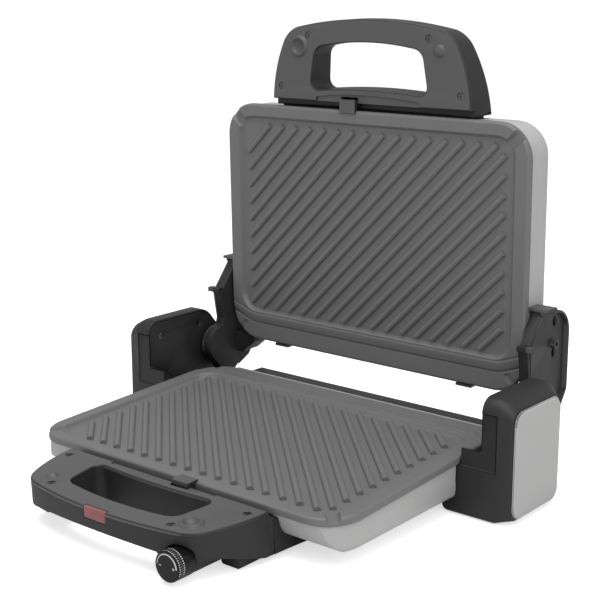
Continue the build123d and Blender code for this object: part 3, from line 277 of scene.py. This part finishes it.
finishes = {
    "plate": finish("coated_casting", (0.147, 0.147, 0.149), 0.50, grain_scale=900.0, grain_depth=0.25,
                    cloud=0.04),
    "silver": finish("silver_paint", (0.40, 0.40, 0.40), 0.40, grain_scale=2600.0, grain_depth=0.10,
                     cloud=0.03),
    "dark_plastic": finish("charcoal_moulding", (0.024, 0.024, 0.025), 0.50, grain_depth=0.20,
                           Specular_IOR_Level=0.3),
    "grip_plastic": finish("charcoal_cover", (0.082, 0.082, 0.083), 0.48, grain_depth=0.20),
    "knob": finish("black_gloss", (0.006, 0.006, 0.006), 0.22, grain_depth=0.02, cloud=0.10,
                   Specular_IOR_Level=0.22),
    "lens": finish("red_window", (0.30, 0.085, 0.085), 0.18, grain_depth=0.03, Alpha=0.86),
    "lamp": finish("neon_glass", (0.80, 0.35, 0.25), 0.10, grain_depth=0.02, Alpha=0.6),
    "steel": finish("plated_steel", (0.16, 0.16, 0.165), 0.30, grain_scale=700.0, Metallic=1.0),
    "heater": finish("oxidised_sheath", (0.06, 0.06, 0.055), 0.55, grain_scale=900.0, grain_depth=0.4,
                     Metallic=0.6),
    "reflector": finish("bright_sheet", (0.72, 0.72, 0.73), 0.28, grain_scale=500.0, Metallic=1.0),
    "rubber": finish("black_rubber", (0.02, 0.02, 0.02), 0.75, grain_scale=1200.0, grain_depth=0.4),
    "ceramic": finish("terminal_ceramic", (0.62, 0.60, 0.55), 0.40, grain_depth=0.2),
    "frame_steel": finish("black_enamel", (0.03, 0.03, 0.032), 0.45, grain_scale=1200.0),
}
slot_of = {part["node"]: part["material_slot"] for part in frame["record"]["subparts"]}
for node, piece in frame["nodes"].items():
    piece.data.materials.clear()
    piece.data.materials.append(finishes[slot_of[node]])
print("finishes:", len(finishes))

# %% [markdown]
# Every piece that this lesson makes ends the same way: as plain mesh in the scene, in the finish of
# the CAD node that it stands in for, and riding on that node's body. Three helpers do this, so that
# no step can be forgotten.

# %% Helpers for finished pieces
def shown(name, mesh):
    """A new object in the scene."""
    piece = bpy.data.objects.new(name, mesh)
    scene.collection.objects.link(piece)
    return piece


def baked(piece):
    """The piece with its modifiers applied as plain mesh."""
    graph = bpy.context.evaluated_depsgraph_get()
    mesh = bpy.data.meshes.new_from_object(piece.evaluated_get(graph))
    old = piece.data
    piece.modifiers.clear()
    piece.data = mesh
    bpy.data.meshes.remove(old)
    return piece


def collect(piece, node):
    """Puts a finished piece on its body, in its finish, in place of a CAD node."""
    slot = slot_of[node]
    piece.data.materials.clear()
    piece.data.materials.append(finishes[slot])
    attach(piece, body_of(frame["nodes"][node])[0])
    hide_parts(node)
    return piece


print("slots in use:", len(set(slot_of.values())))

# %% [markdown]
# A moulding never has a knife edge, but the solids come with sharp ones. Rounding them in the shader
# would change only the light, not the outline. So a copy of each visible moulding is merged, its flat
# faces are joined and cut into few triangles, and a Bevel modifier gives every sharp edge a small
# real round. A width that depends on the place is set as a weight on the edge.

# %% A moulding with rounded edges
merge_gap, flat_angle, edge_angle, shade_angle = 0.002 * mm, 0.4, 32.0, 50.0


def rounded(node, width, where=None, steps=3):
    """A copy of a CAD node with its sharp edges rounded; where() gives an edge its own width."""
    mesh = bpy.data.meshes.new(node + "_moulding")
    shape = bmesh.new()
    shape.from_mesh(frame["nodes"][node].data)
    bmesh.ops.remove_doubles(shape, verts=shape.verts, dist=merge_gap)
    bmesh.ops.dissolve_limit(shape, angle_limit=math.radians(flat_angle), verts=shape.verts,
                             edges=shape.edges)
    bmesh.ops.triangulate(shape, faces=shape.faces)
    weight = shape.edges.layers.float.new("bevel_weight_edge")
    for edge in shape.edges:
        if len(edge.link_faces) == 2 and edge.calc_face_angle() > math.radians(edge_angle):
            middle = (edge.verts[0].co + edge.verts[1].co) / 2
            edge[weight] = min(where(middle) / width, 1.0) if where else 1.0
    shape.to_mesh(mesh)
    shape.free()
    piece = shown(node + "_moulding", mesh)
    bevel = piece.modifiers.new("edge", "BEVEL")
    bevel.width = width * mm
    bevel.segments = steps
    bevel.limit_method = "WEIGHT"
    bevel.use_clamp_overlap = False
    bevel.loop_slide = False
    bevel.harden_normals = True
    for face in mesh.polygons:
        face.use_smooth = True
    mesh.set_sharp_from_angle(angle=math.radians(shade_angle))
    return collect(baked(piece), node)


plain_steps, wide_steps, wide_width = 3, 5, 2.0
edge_of = {
    "base_shell": 0.6, "lid_shell": 0.6, "lid_frame": 0.4, "rear_housing": 1.0,
    "tower_shell_right": 1.2, "tower_shell_left": 1.2, "tower_inner_cover_right": 0.4,
    "tower_inner_cover_left": 0.4, "tower_side_panel_right": 2.2, "tower_side_panel_left": 2.2,
    "lid_arm_right": 0.35, "lid_arm_left": 0.35, "lid_arm_cover_right": 0.35, "lid_arm_cover_left": 0.35,
    "lower_latch": 0.5, "upper_latch": 0.5, "indicator_lens": 0.5, "temperature_knob": 0.5,
}
for node, width in edge_of.items():
    rounded(node, width, steps=wide_steps if width > wide_width else plain_steps)
print("mouldings rounded:", len(edge_of))

# %% [markdown]
# A handle is a dark shell with a lighter cover plate on it. The cover has a wide round along its
# outline and around the grip, but its screw holes, its two beads and the bay of the catch are
# crisp. One width for all would swallow these, so a rule looks at each edge's place in the plate's
# plan and answers with a width.

# %% The handles
handle_half, handle_reach = 113.0, 84.0
hole_spots, hole_reach = ((0.903, 0.232), (0.602, 0.81)), 5.0
bead_inset, bead_back, bead_level, bead_reach = 33.5, 26.2, -1.0, 12.5
bay_half, bay_back, cover_level = 60.5, 15.2, 1.15
fine_edge, cover_edge, handle_steps = 0.3, 1.6, 4
lower_edge, lower_level, upper_edge, upper_level = 1.0, 9.0, 1.6, 12.5


def cover_rule(matrix):
    """Widths for a handle's cover: wide at the outline and the grip, fine at every small feature."""
    flat = matrix.inverted()
    small = [(x * handle_half, -y * handle_reach, hole_reach) for x, y in hole_spots]
    small.append((handle_half - bead_inset, bead_back - handle_reach, bead_reach))

    def width(point):
        x, y, z = flat @ point
        near = any(math.hypot(abs(x) - cx, y - cy) < reach for cx, cy, reach in small)
        in_bay = abs(x) < bay_half and y > -bay_back
        return fine_edge if near or in_bay or abs(z) > cover_level else cover_edge
    return width


def shell_rule(matrix, wide, level):
    """Widths for a handle's shell: fine near the cover, wide on the outside further down."""
    flat = matrix.inverted()
    return lambda point: wide if abs((flat @ point).z) > level else fine_edge


for node, width, rule in (("lower_handle_face", cover_edge, cover_rule(on_base)),
                          ("upper_handle_face", cover_edge, cover_rule(on_lid)),
                          ("lower_handle_shell", lower_edge, shell_rule(on_base, lower_edge, lower_level)),
                          ("upper_handle_shell", upper_edge, shell_rule(on_lid, upper_edge, upper_level))):
    piece = rounded(node, width, rule, handle_steps)
    print(node, "faces", len(piece.data.polygons))

# %% [markdown]
# The grill plates are castings: a rim, a sunken floor, a bead and a groove along the hinge side, a
# spout in each front corner and a short dent in each rear one. They could be cut with booleans, but
# all of that is one height over the plate's plan. So a plate is made of rings, each a rounded
# rectangle part of the way from the outer edge to the floor, and a function lifts every point.

# %% The rings of a plate
ring_step, corner_points, coarse = 1.35, 40, 4


def rounded_ring(half, front, back, corner):
    """Points of a rounded rectangle, as many on each stretch as the outer edge needs."""
    points = []
    for side, (cx, cy) in enumerate(((1, 1), (-1, 1), (-1, 0), (1, 0))):
        middle = Vector((cx * (half - corner), back - corner if cy else front + corner))
        across = side % 2 == 0
        start = side * math.pi / 2
        for k in range(corner_points):
            angle = start + math.pi / 2 * k / corner_points
            points.append(middle + corner * Vector((math.cos(angle), math.sin(angle))))
        last = start + math.pi / 2
        end = middle + corner * Vector((math.cos(last), math.sin(last)))
        length = (plate_width if across else plate_depth) - 2 * plate_corner
        count = int(length / (ring_step * (coarse if side == 2 else 1)))
        gap = 2 * (half - corner) if across else back - front - 2 * corner
        way = Vector(((-1, 0), (0, -1), (1, 0), (0, 1))[side])
        points += [end + way * gap * k / count for k in range(count)]
    return points


print("points in a ring:", len(rounded_ring(plate_width / 2, 0, plate_depth, plate_corner)))

# %% [markdown]
# The height of a plate is a sum of simple shapes: how far a point lies inside the rim, how far
# inside the floor, and how far along the section of the hinge side. The section is read from a few
# stops with a smooth step between them, and its line bends forward near the sides as on the casting.

# %% The height of a plate over its plan
rim_lip, spout_half, spout_wall, spout_deep, spout_edge = 2.6, 4.4, 1.6, 3.7, 0.42
floor_side, floor_front, floor_back, floor_corner = 14.5, 12.5, 30.5, 18.0
floor_deep, floor_wall, floor_lead = 4.0, 3.6, 1.4
hinge_zone, hinge_bend, bend_start, bend_length = 190.0, 11.0, 141.0, 40.0
hinge_stops = ((212.0, 0.0), (213.4, -0.5), (215.4, 0.0), (217.0, -0.1), (222.6, -0.8), (223.5, -2.3),
               (224.2, -2.3), (225.0, -1.2))
dent_middle, dent_slant = Vector((159.5, 229.5)), Vector((0.74, 0.67))
dent_reach, dent_half, dent_deep, dent_wall = 5.0, 2.6, 1.2, 1.4


def eased(value):
    """A smooth step from 0 to 1."""
    value = min(max(value, 0.0), 1.0)
    return value * value * (3 - 2 * value)


def inside_by(x, y, half, front, back, corner):
    """How far a point lies inside a rounded rectangle."""
    dx = abs(x) - (half - corner)
    dy = abs(y - (front + back) / 2) - ((back - front) / 2 - corner)
    outside = math.hypot(max(dx, 0), max(dy, 0)) + min(max(dx, dy), 0)
    return corner - outside


def along(value, stops):
    """A height read from a few stops, with a smooth step between each two."""
    for (a, low), (b, high) in zip(stops, stops[1:]):
        if value < b:
            return low + (high - low) * eased((value - a) / (b - a))
    return stops[-1][1]


def plate_height(x, y):
    """The height of the ribbed side of a plate over its plan, in millimetres."""
    half = plate_width / 2
    lip = inside_by(x, y, half, 0, plate_depth, plate_corner)
    height = 0.0
    if lip < rim_lip:
        height -= rim_lip - math.sqrt(max(rim_lip ** 2 - (rim_lip - max(lip, 0)) ** 2, 0))
    sunk = inside_by(x, y, half - floor_side, floor_front, plate_depth - floor_back, floor_corner)
    pan = -floor_deep * eased((sunk + floor_lead) / floor_wall)
    hinge_line = y + hinge_bend * eased((abs(x) - bend_start) / bend_length)
    height += min(pan, along(hinge_line, hinge_stops) if y > hinge_zone else 0.0)
    toward = Vector((abs(x), y)) - dent_middle
    run = min(max(toward.dot(dent_slant), -dent_reach), dent_reach)
    height -= dent_deep * eased((dent_half - (toward - dent_slant * run).length) / dent_wall + 0.5)
    out = Vector((abs(x), y)) - Vector((half - plate_corner, plate_corner))
    if out.x > out.y:
        off = abs(out.x + out.y) / math.sqrt(2)
        spout = -spout_deep * eased((spout_half + spout_wall - off) / spout_wall)
        height = min(height, spout - spout_edge * eased(1 - lip / rim_lip))
    return height


print("floor of a plate at", plate_height(0, plate_depth / 2), "mm")

# %% [markdown]
# The casting itself is closed: the rings carry its upper side, a skirt goes down from the outermost
# one, and a flat floor joins the innermost. The first rings lie closer together, because the rim
# curls there. Both plates share the drawing and differ only in their matrix.

# %% The casting of a plate
plate_skirt, ring_count, close_rings, close_power = 6.4, 52, 6, 1.6


def plate_mesh(name, matrix):
    """One closed grill plate without its ribs, placed by a matrix."""
    outer = (plate_width / 2, 0.0, plate_depth, plate_corner)
    inner = (plate_width / 2 - floor_side - floor_wall, floor_front + floor_wall,
             plate_depth - floor_back - floor_wall, floor_corner - floor_wall)
    rings = []
    for index in range(ring_count + 1):
        share = index if index >= close_rings else (index / close_rings) ** close_power * close_rings
        rings.append(rounded_ring(*[a + (b - a) * share / ring_count for a, b in zip(outer, inner)]))
    shape = bmesh.new()
    rows = [[shape.verts.new((p.x, p.y, -plate_skirt)) for p in rings[0]]]
    for ring in rings:
        rows.append([shape.verts.new((p.x, p.y, plate_height(p.x, p.y))) for p in ring])
    size = len(rings[0])
    for low, high in zip(rows, rows[1:]):
        for k in range(size):
            after = (k + 1) % size
            shape.faces.new((low[k], low[after], high[after], high[k]))
    shape.faces.new(rows[-1])
    shape.faces.new(list(reversed(rows[0])))
    bmesh.ops.transform(shape, matrix=matrix, verts=shape.verts)
    bmesh.ops.recalc_face_normals(shape, faces=shape.faces)
    mesh = bpy.data.meshes.new(name)
    shape.to_mesh(mesh)
    shape.free()
    for face in mesh.polygons:
        face.use_smooth = True
    mesh.set_sharp_from_angle(angle=math.radians(shade_angle))
    return mesh


print("rings of a plate:", ring_count + 1)

# %% [markdown]
# The ribs repeat, so Geometry Nodes make them: a mesh with one edge for every rib goes in, each
# edge becomes a curve of twelve points, and the points near the ends close up as on a half ball.
# An array of one bar would not do, because the ribs run slanting and each has its own length.

# %% A node tree for round-ended bars
bar_points, bar_tip = 12, 0.004


def dress(tree, geometry, material):
    """The end of a tree: instances made real, the material set, and out."""
    real = wired(tree, "GeometryNodeRealizeInstances", {"Geometry": geometry})
    dressed = wired(tree, "GeometryNodeSetMaterial", {"Geometry": real.outputs[0], "Material": material})
    wired(tree, "NodeGroupOutput", {"Geometry": dressed.outputs[0]})


def bar_tree():
    """Edges in, round-ended bars out; inputs for the radius, the sides and the material."""
    tree = bpy.data.node_groups.new("round_ended_bars", "GeometryNodeTree")
    add_sockets(tree, "INPUT", ("Geometry", "Geometry", None), ("Radius", "Float", 0.003),
                ("Sides", "Int", 16), ("Material", "Material", None))
    add_sockets(tree, "OUTPUT", ("Geometry", "Geometry", None))
    given = wired(tree, "NodeGroupInput").outputs
    last = bar_points - 1
    curve = wired(tree, "GeometryNodeMeshToCurve", {"Mesh": given["Geometry"]})
    even = wired(tree, "GeometryNodeResampleCurve", {"Curve": curve.outputs[0], "Count": bar_points})
    number = wired(tree, "GeometryNodeSplineParameter").outputs["Index"]
    length = wired(tree, "GeometryNodeSplineLength").outputs["Length"]
    from_end = calc(tree, "MINIMUM", number, calc(tree, "SUBTRACT", last, number))
    angle = calc(tree, "MULTIPLY", from_end, math.pi / 2 / (bar_points / 2 - 1))
    inset = calc(tree, "MULTIPLY", given["Radius"], calc(tree, "SUBTRACT", 1.0, calc(tree, "COSINE", angle)))
    share = calc(tree, "DIVIDE", inset, length)
    first_half = calc(tree, "LESS_THAN", number, last / 2)
    second_half = calc(tree, "SUBTRACT", 1.0, first_half)
    mirrored = calc(tree, "SUBTRACT", 1.0, share)
    wanted = calc(tree, "ADD", calc(tree, "MULTIPLY", share, first_half),
                  calc(tree, "MULTIPLY", mirrored, second_half))
    wrong_by = calc(tree, "SUBTRACT", wanted, calc(tree, "DIVIDE", number, last))
    shift = calc(tree, "MULTIPLY", wrong_by, length)
    tangent = wired(tree, "GeometryNodeInputTangent").outputs[0]
    offset = wired(tree, "ShaderNodeVectorMath", {0: tangent, "Scale": shift}, operation="SCALE").outputs[0]
    moved = wired(tree, "GeometryNodeSetPosition", {"Geometry": even.outputs[0], "Offset": offset})
    width = calc(tree, "MAXIMUM", calc(tree, "SINE", angle), bar_tip)
    sized = wired(tree, "GeometryNodeSetCurveRadius", {"Curve": moved.outputs[0], "Radius": width})
    ring = wired(tree, "GeometryNodeCurvePrimitiveCircle", {"Resolution": given["Sides"],
                                                            "Radius": given["Radius"]})
    tube = wired(tree, "GeometryNodeCurveToMesh", {"Curve": sized.outputs[0], "Fill Caps": True,
                                                   "Profile Curve": ring.outputs[0]})
    smooth = wired(tree, "GeometryNodeSetShadeSmooth", {"Geometry": tube.outputs[0]})
    dress(tree, smooth.outputs[0], given["Material"])
    return tree


def grown(name, mesh, tree, **values):
    """A new object made by a node tree from a plain mesh, with the tree's inputs set by name."""
    seed = shown(name, mesh)
    step = seed.modifiers.new("nodes", "NODES")
    step.node_group = tree
    for item in tree.interface.items_tree:
        if item.in_out == "INPUT" and item.name.lower() in values:
            step[item.identifier] = values[item.name.lower()]
    return baked(seed)


bars = bar_tree()
print("tree", bars.name, "with", len(bars.nodes), "nodes")

# %% [markdown]
# The ribs slant across a field inside the floor, an even pitch apart, and stop at the field's edge.
# Their lines are worked out from the field and the pitch, as they are for the real mould. Ribs and
# casting are one piece of metal, so they become one object.

# %% The two grill plates
rib_radius, rib_rise, rib_sides, rib_pitch, rib_start, rib_shortest = 2.9, 0.5, 18, 17.25, 23.4, 15.0
field_side, field_front, field_back = 27.0, 22.2, 38.0
weld_gap = 0.02 * mm


def rib_lines():
    """Both ends of every rib, in the plate's own plan."""
    half = plate_width / 2 - field_side
    back = plate_depth - field_back
    count = int((2 * half + back - field_front - rib_start - rib_shortest) / rib_pitch) + 1
    reach = rib_radius / math.sqrt(2)
    ends = []
    for index in range(count):
        total = -half + field_front + rib_start + index * rib_pitch
        low, high = max(-half, total - back), min(half, total - field_front)
        ends.append(((low - reach, total - low + reach), (high + reach, total - high - reach)))
    return ends


def plate(node, matrix):
    """A whole grill plate: the casting and its ribs in one object."""
    level = rib_rise - floor_deep
    seed = bpy.data.meshes.new(node + "_rib_lines")
    spots = [matrix @ Vector((*end, level)) for pair in rib_lines() for end in pair]
    seed.from_pydata(spots, [(k, k + 1) for k in range(0, len(spots), 2)], [])
    ribs = grown(node + "_ribs", seed, bars, radius=rib_radius * mm, sides=rib_sides,
                 material=finishes["plate"])
    shape = bmesh.new()
    shape.from_mesh(plate_mesh(node + "_casting", matrix))
    shape.from_mesh(ribs.data)
    bmesh.ops.remove_doubles(shape, verts=shape.verts, dist=weld_gap)
    bmesh.ops.recalc_face_normals(shape, faces=shape.faces)
    mesh = bpy.data.meshes.new(node + "_cast")
    shape.to_mesh(mesh)
    shape.free()
    bpy.data.objects.remove(ribs)
    mesh.set_sharp_from_angle(angle=math.radians(shade_angle))
    return collect(shown(node + "_cast", mesh), node)


for node, matrix in (("lower_plate", on_base), ("upper_plate", on_lid)):
    piece = plate(node, matrix)
    print(node, "faces", len(piece.data.polygons), "ribs", len(rib_lines()))

# %% [markdown]
# Twenty screws of one kind hold the handles, towers, arms and the bottom. Each could be modelled
# where it sits, but a node tree does it once: it makes a head with its cross recess and a shank, and
# puts a copy on every point, all turned the same way.

# %% A node tree for cross-head screws
cross_long, cross_wide, shank_share, shank_sink = 1.3, 0.26, 0.5, 0.02
head_sides, shank_sides = 32, 16


def screw_tree():
    """Points in, screws out; inputs for the sizes, the direction and the material."""
    tree = bpy.data.node_groups.new("cross_head_screws", "GeometryNodeTree")
    add_sockets(tree, "INPUT", ("Geometry", "Geometry", None), ("Direction", "Vector", None),
                ("Head", "Float", 0.003), ("Height", "Float", 0.0016), ("Length", "Float", 0.012),
                ("Material", "Material", None))
    add_sockets(tree, "OUTPUT", ("Geometry", "Geometry", None))
    given = wired(tree, "NodeGroupInput").outputs

    def placed(shape, level):
        up = wired(tree, "ShaderNodeCombineXYZ", {2: level}).outputs[0]
        return wired(tree, "GeometryNodeTransform", {"Geometry": shape, "Translation": up}).outputs[0]

    def bar(long_x, long_y):
        size = wired(tree, "ShaderNodeCombineXYZ", {0: long_x, 1: long_y, 2: given["Height"]}).outputs[0]
        return wired(tree, "GeometryNodeMeshCube", {"Size": size}).outputs[0]

    def rod(sides, radius, depth):
        values = {"Vertices": sides, "Radius": radius, "Depth": depth}
        return wired(tree, "GeometryNodeMeshCylinder", values).outputs[0]

    head = rod(head_sides, given["Head"], given["Height"])
    head = placed(head, calc(tree, "MULTIPLY", given["Height"], -0.5))
    reach = calc(tree, "MULTIPLY", given["Head"], cross_long)
    slim = calc(tree, "MULTIPLY", given["Head"], cross_wide)
    cut = wired(tree, "GeometryNodeMeshBoolean", {"Mesh 1": head, "Mesh 2": bar(reach, slim)},
                operation="DIFFERENCE")
    tree.links.new(bar(slim, reach), cut.inputs["Mesh 2"])
    shank = rod(shank_sides, calc(tree, "MULTIPLY", given["Head"], shank_share), given["Length"])
    under = calc(tree, "MULTIPLY", given["Height"], 2 - shank_sink)
    level = calc(tree, "MULTIPLY", calc(tree, "ADD", given["Length"], under), -0.5)
    whole = wired(tree, "GeometryNodeJoinGeometry", {0: cut.outputs[0]})
    tree.links.new(placed(shank, level), whole.inputs[0])
    many = wired(tree, "GeometryNodeInstanceOnPoints", {"Points": given["Geometry"],
                                                        "Instance": whole.outputs[0],
                                                        "Rotation": given["Direction"]})
    dress(tree, many.outputs[0], given["Material"])
    return tree


crosses = screw_tree()
print("tree", crosses.name, "with", len(crosses.nodes), "nodes")

# %% [markdown]
# The places of the screws are not written down a second time. They are read off the CAD screws: each
# node's mesh falls into separate solids, and the end of a solid that is wider is its head.

# %% Where the screws sit
end_band = 0.1 * mm


def loose_parts(mesh):
    """The points of every separate solid in a mesh."""
    shape = bmesh.new()
    shape.from_mesh(mesh)
    bmesh.ops.remove_doubles(shape, verts=shape.verts, dist=merge_gap)
    left, parts = set(shape.verts), []
    while left:
        stack, part = [left.pop()], []
        while stack:
            vert = stack.pop()
            part.append(vert.co.copy())
            for edge in vert.link_edges:
                other = edge.other_vert(vert)
                if other in left:
                    left.remove(other)
                    stack.append(other)
        parts.append(part)
    shape.free()
    return parts


def head_of(part, axis):
    """Where a screw's head ends, which way it faces, and the screw's whole length."""
    middle = Vector([(min(p[k] for p in part) + max(p[k] for p in part)) / 2 for k in range(3)])
    run = [(p - middle).dot(axis) for p in part]
    wide = [((p - middle) - axis * t).length for p, t in zip(part, run)]
    low, high = min(run), max(run)
    at_low = max(w for w, t in zip(wide, run) if t < low + end_band)
    at_high = max(w for w, t in zip(wide, run) if t > high - end_band)
    facing = 1 if at_high > at_low else -1
    return middle + axis * (high if facing > 0 else low), axis * facing, high - low


up, across = Vector((0, 0, 1)), Vector((1, 0, 0))
up_lower, up_upper = [(matrix.to_3x3() @ up).normalized() for matrix in (on_base, on_lid)]
screw_axis = {"lower_handle_screws": up_lower, "upper_handle_screws": up_upper, "base_screws": up,
              "tower_screws": across, "lid_arm_screws": across}
print("nodes with screws:", len(screw_axis))

# %% [markdown]
# Screws of one node may face two ways, as those of the two towers do. So they are sorted by the way
# they face, the tree grows each lot with its own direction, and the lots are joined to one object.

# %% The screws
screw_head, screw_height = 3.0 * mm, 1.6 * mm
for node, axis in screw_axis.items():
    ways = {}
    for part in loose_parts(frame["nodes"][node].data):
        end, facing, length = head_of(part, axis)
        ways.setdefault(tuple(round(v, 6) for v in facing), []).append((end, length))
    shape = bmesh.new()
    for facing, found in ways.items():
        seed = bpy.data.meshes.new(node + "_points")
        seed.from_pydata([end for end, length in found], [], [])
        turn = Vector(facing).to_track_quat("Z", "Y").to_euler()
        few = grown(node + "_some", seed, crosses, direction=tuple(turn), head=screw_head,
                    height=screw_height, length=found[0][1] - screw_height, material=finishes["steel"])
        shape.from_mesh(few.data)
        bpy.data.objects.remove(few)
    mesh = bpy.data.meshes.new(node + "_cross")
    shape.to_mesh(mesh)
    shape.free()
    collect(shown(node + "_cross", mesh), node)
    print(node, "screws", sum(len(found) for found in ways.values()), "ways", len(ways))

# %% [markdown]
# The arc, the minus and the plus on the knob are printed, so they are colour and not shape. The fine
# knurl ribs of the rim are not modelled, and their glints are painted as colour: fine ticks over the
# upper part of the rim that end in two rows of light dots. An image could carry all this, but a few
# masks say the same without a file. A node group centres the object coordinates on the knob's axis
# and draws an arc that widens to the right, a minus, a plus, and the painted ticks and dots.

# %% A mask for the knob's print and painted glints
knob_radius, face_depth = 12.4, 0.5
arc_place, arc_half, arc_swell, arc_low = 0.80, 0.56, 0.26, 0.3
sign_place, sign_long, sign_thin = 0.55, 1.2, 0.35
# Painted highlights: the tick, dot and rim numbers set light dots and faint lines on the upper part of the
# rim, standing for glints on knurl ribs.
knurl_glint_count, glint_dot_share, sheen_line_share, sheen_line_tone = 44, 0.24, 0.10, 0.35
glint_dot_rows, sheen_line_row = ((1.7, 0.45), (6.4, 0.5)), (4.0, 2.4)
rim_share, lit_side_low = 0.93, -0.45


def dial_print_and_glints(centre, radius):
    """A shader group whose one output is 1 on the print and on the painted glints of the rim, and 0
    elsewhere.
    """
    tree = bpy.data.node_groups.new("dial_print_and_glints", "ShaderNodeTree")
    add_sockets(tree, "OUTPUT", ("Mask", "Float", None))

    def made(operation, *values):
        return calc(tree, operation, *values)

    def near(value, middle, half):
        return made("LESS_THAN", made("ABSOLUTE", made("SUBTRACT", value, middle)), half)

    def joined(operation, first, *others):
        for other in others:
            first = made(operation, first, other)
        return first

    def both(*masks):
        return joined("MULTIPLY", *masks)

    def either(*masks):
        return joined("MAXIMUM", *masks)

    spot = wired(tree, "ShaderNodeTexCoord").outputs["Object"]
    centred = wired(tree, "ShaderNodeMapping", {"Vector": spot, "Location": tuple(-v / mm for v in centre),
                                                "Scale": (1 / mm, 1 / mm, 1 / mm)})
    x, back, z = wired(tree, "ShaderNodeSeparateXYZ", {0: centred.outputs[0]}).outputs
    away = made("SQRT", made("ADD", made("MULTIPLY", x, x), made("MULTIPLY", z, z)))
    angle = made("ARCTAN2", z, x)
    face = made("LESS_THAN", back, face_depth)
    swell = made("ADD", made("MULTIPLY", made("COSINE", angle), arc_swell), arc_half)
    arc = both(near(away, arc_place * radius, swell), made("GREATER_THAN", z, arc_low))
    minus = both(near(x, -sign_place * radius, sign_long), near(z, 0.0, sign_thin))
    plus = either(both(near(x, sign_place * radius, sign_long), near(z, 0.0, sign_thin)),
                  both(near(x, sign_place * radius, sign_thin), near(z, 0.0, sign_long)))
    # Painted highlights: two rows of light dots for glints on the ends of the knurl ribs, with faint sheen
    # lines between them, only on the upper rim.
    turns = made("FRACT", made("MULTIPLY", angle, knurl_glint_count / (2 * math.pi)))
    beside = made("ABSOLUTE", made("SUBTRACT", turns, 0.5))
    dots = both(made("LESS_THAN", beside, glint_dot_share), either(*[near(back, *row) for row in glint_dot_rows]))
    lines = both(made("LESS_THAN", beside, sheen_line_share), near(back, *sheen_line_row), sheen_line_tone)
    rim = both(made("GREATER_THAN", away, rim_share * radius), made("GREATER_THAN", z, lit_side_low * radius))
    on_face = both(face, either(arc, minus, plus))
    wired(tree, "NodeGroupOutput", {0: either(on_face, both(rim, either(dots, lines)))})
    return tree


print("knob radius for the print:", knob_radius, "mm")

# %% [markdown]
# The knob's print with its painted glints, and the painted shade on the handle covers, both need one
# thing: a second colour that a mask lays over the first. A helper puts a Mix node between the colour
# that is there and the shader.

# %% The print and painted glints on the knob
# One light grey serves the print and the painted glints on the rim.
knob_x, knob_z, ink_and_glint_color = 82.0 * mm, 16.2 * mm, (0.55, 0.55, 0.55, 1.0)


def lay_over(tree, mask, color):
    """Puts a colour over a material's base colour wherever a mask is 1."""
    base = tree.nodes["Principled BSDF"].inputs["Base Color"]
    mix = wired(tree, "ShaderNodeMix", {0: mask, 6: base.links[0].from_socket, 7: color}, data_type="RGBA")
    tree.links.new(mix.outputs[2], base)


knob_front = min(v.co.y for v in frame["nodes"]["temperature_knob"].data.vertices)
knob_place = Vector((knob_x, knob_front, knob_z))
gloss = finishes["knob"].node_tree
print_and_glints = wired(gloss, "ShaderNodeGroup", node_tree=dial_print_and_glints(knob_place, knob_radius))
lay_over(gloss, print_and_glints.outputs[0], ink_and_glint_color)
print("knob face at", [round(v, 4) for v in knob_place])

# %% [markdown]
# Each handle's cover sits in a darker shell, whose edge shows as a dark line around it, deepened by
# the shadow in the narrow gap between them. A lip of its own would be finer than the round beside it,
# so the cover's rounded outline is painted dark: the shell's tone together with painted shade of the
# gap. Where its normal turns away from the flat, and away from the two beads, the colour goes dark.

# %% The dark line and painted shade around the handle covers
# The dark tone stands for the shell's edge and for painted shade in the gap between cover and shell.
cover_flat, cover_turned, bead_clear = 0.985, 0.90, 11.5 * mm
shell_tone_and_gap_shade = (0.018, 0.018, 0.018, 1.0)
cover = finishes["grip_plastic"].node_tree
cover_spot = wired(cover, "ShaderNodeTexCoord").outputs
facing, away = [], []
for axis in (up_lower, up_upper):
    along_axis = wired(cover, "ShaderNodeVectorMath", {0: cover_spot["Normal"], 1: tuple(axis)},
                       operation="DOT_PRODUCT")
    facing.append(calc(cover, "ABSOLUTE", along_axis.outputs["Value"]))
for matrix in (on_base, on_lid):
    for side in (1, -1):
        bead = matrix @ Vector((side * (handle_half - bead_inset), bead_back - handle_reach, bead_level))
        gap = wired(cover, "ShaderNodeVectorMath", {0: cover_spot["Object"], 1: tuple(bead)},
                    operation="DISTANCE")
        away.append(gap.outputs["Value"])
nearest = away[0]
for other in away[1:]:
    nearest = calc(cover, "MINIMUM", nearest, other)
tilt = wired(cover, "ShaderNodeMapRange", {"Value": calc(cover, "MAXIMUM", *facing), "From Min": cover_flat,
                                           "From Max": cover_turned, "To Min": 0.0, "To Max": 1.0})
off_beads = calc(cover, "GREATER_THAN", nearest, bead_clear)
# Painted shade: the cover's rounded outline goes dark, for the shell's edge and the shadow in the gap.
lay_over(cover, calc(cover, "MULTIPLY", tilt.outputs[0], off_beads), shell_tone_and_gap_shade)
print("handle covers: tone from", len(cover.nodes), "nodes")
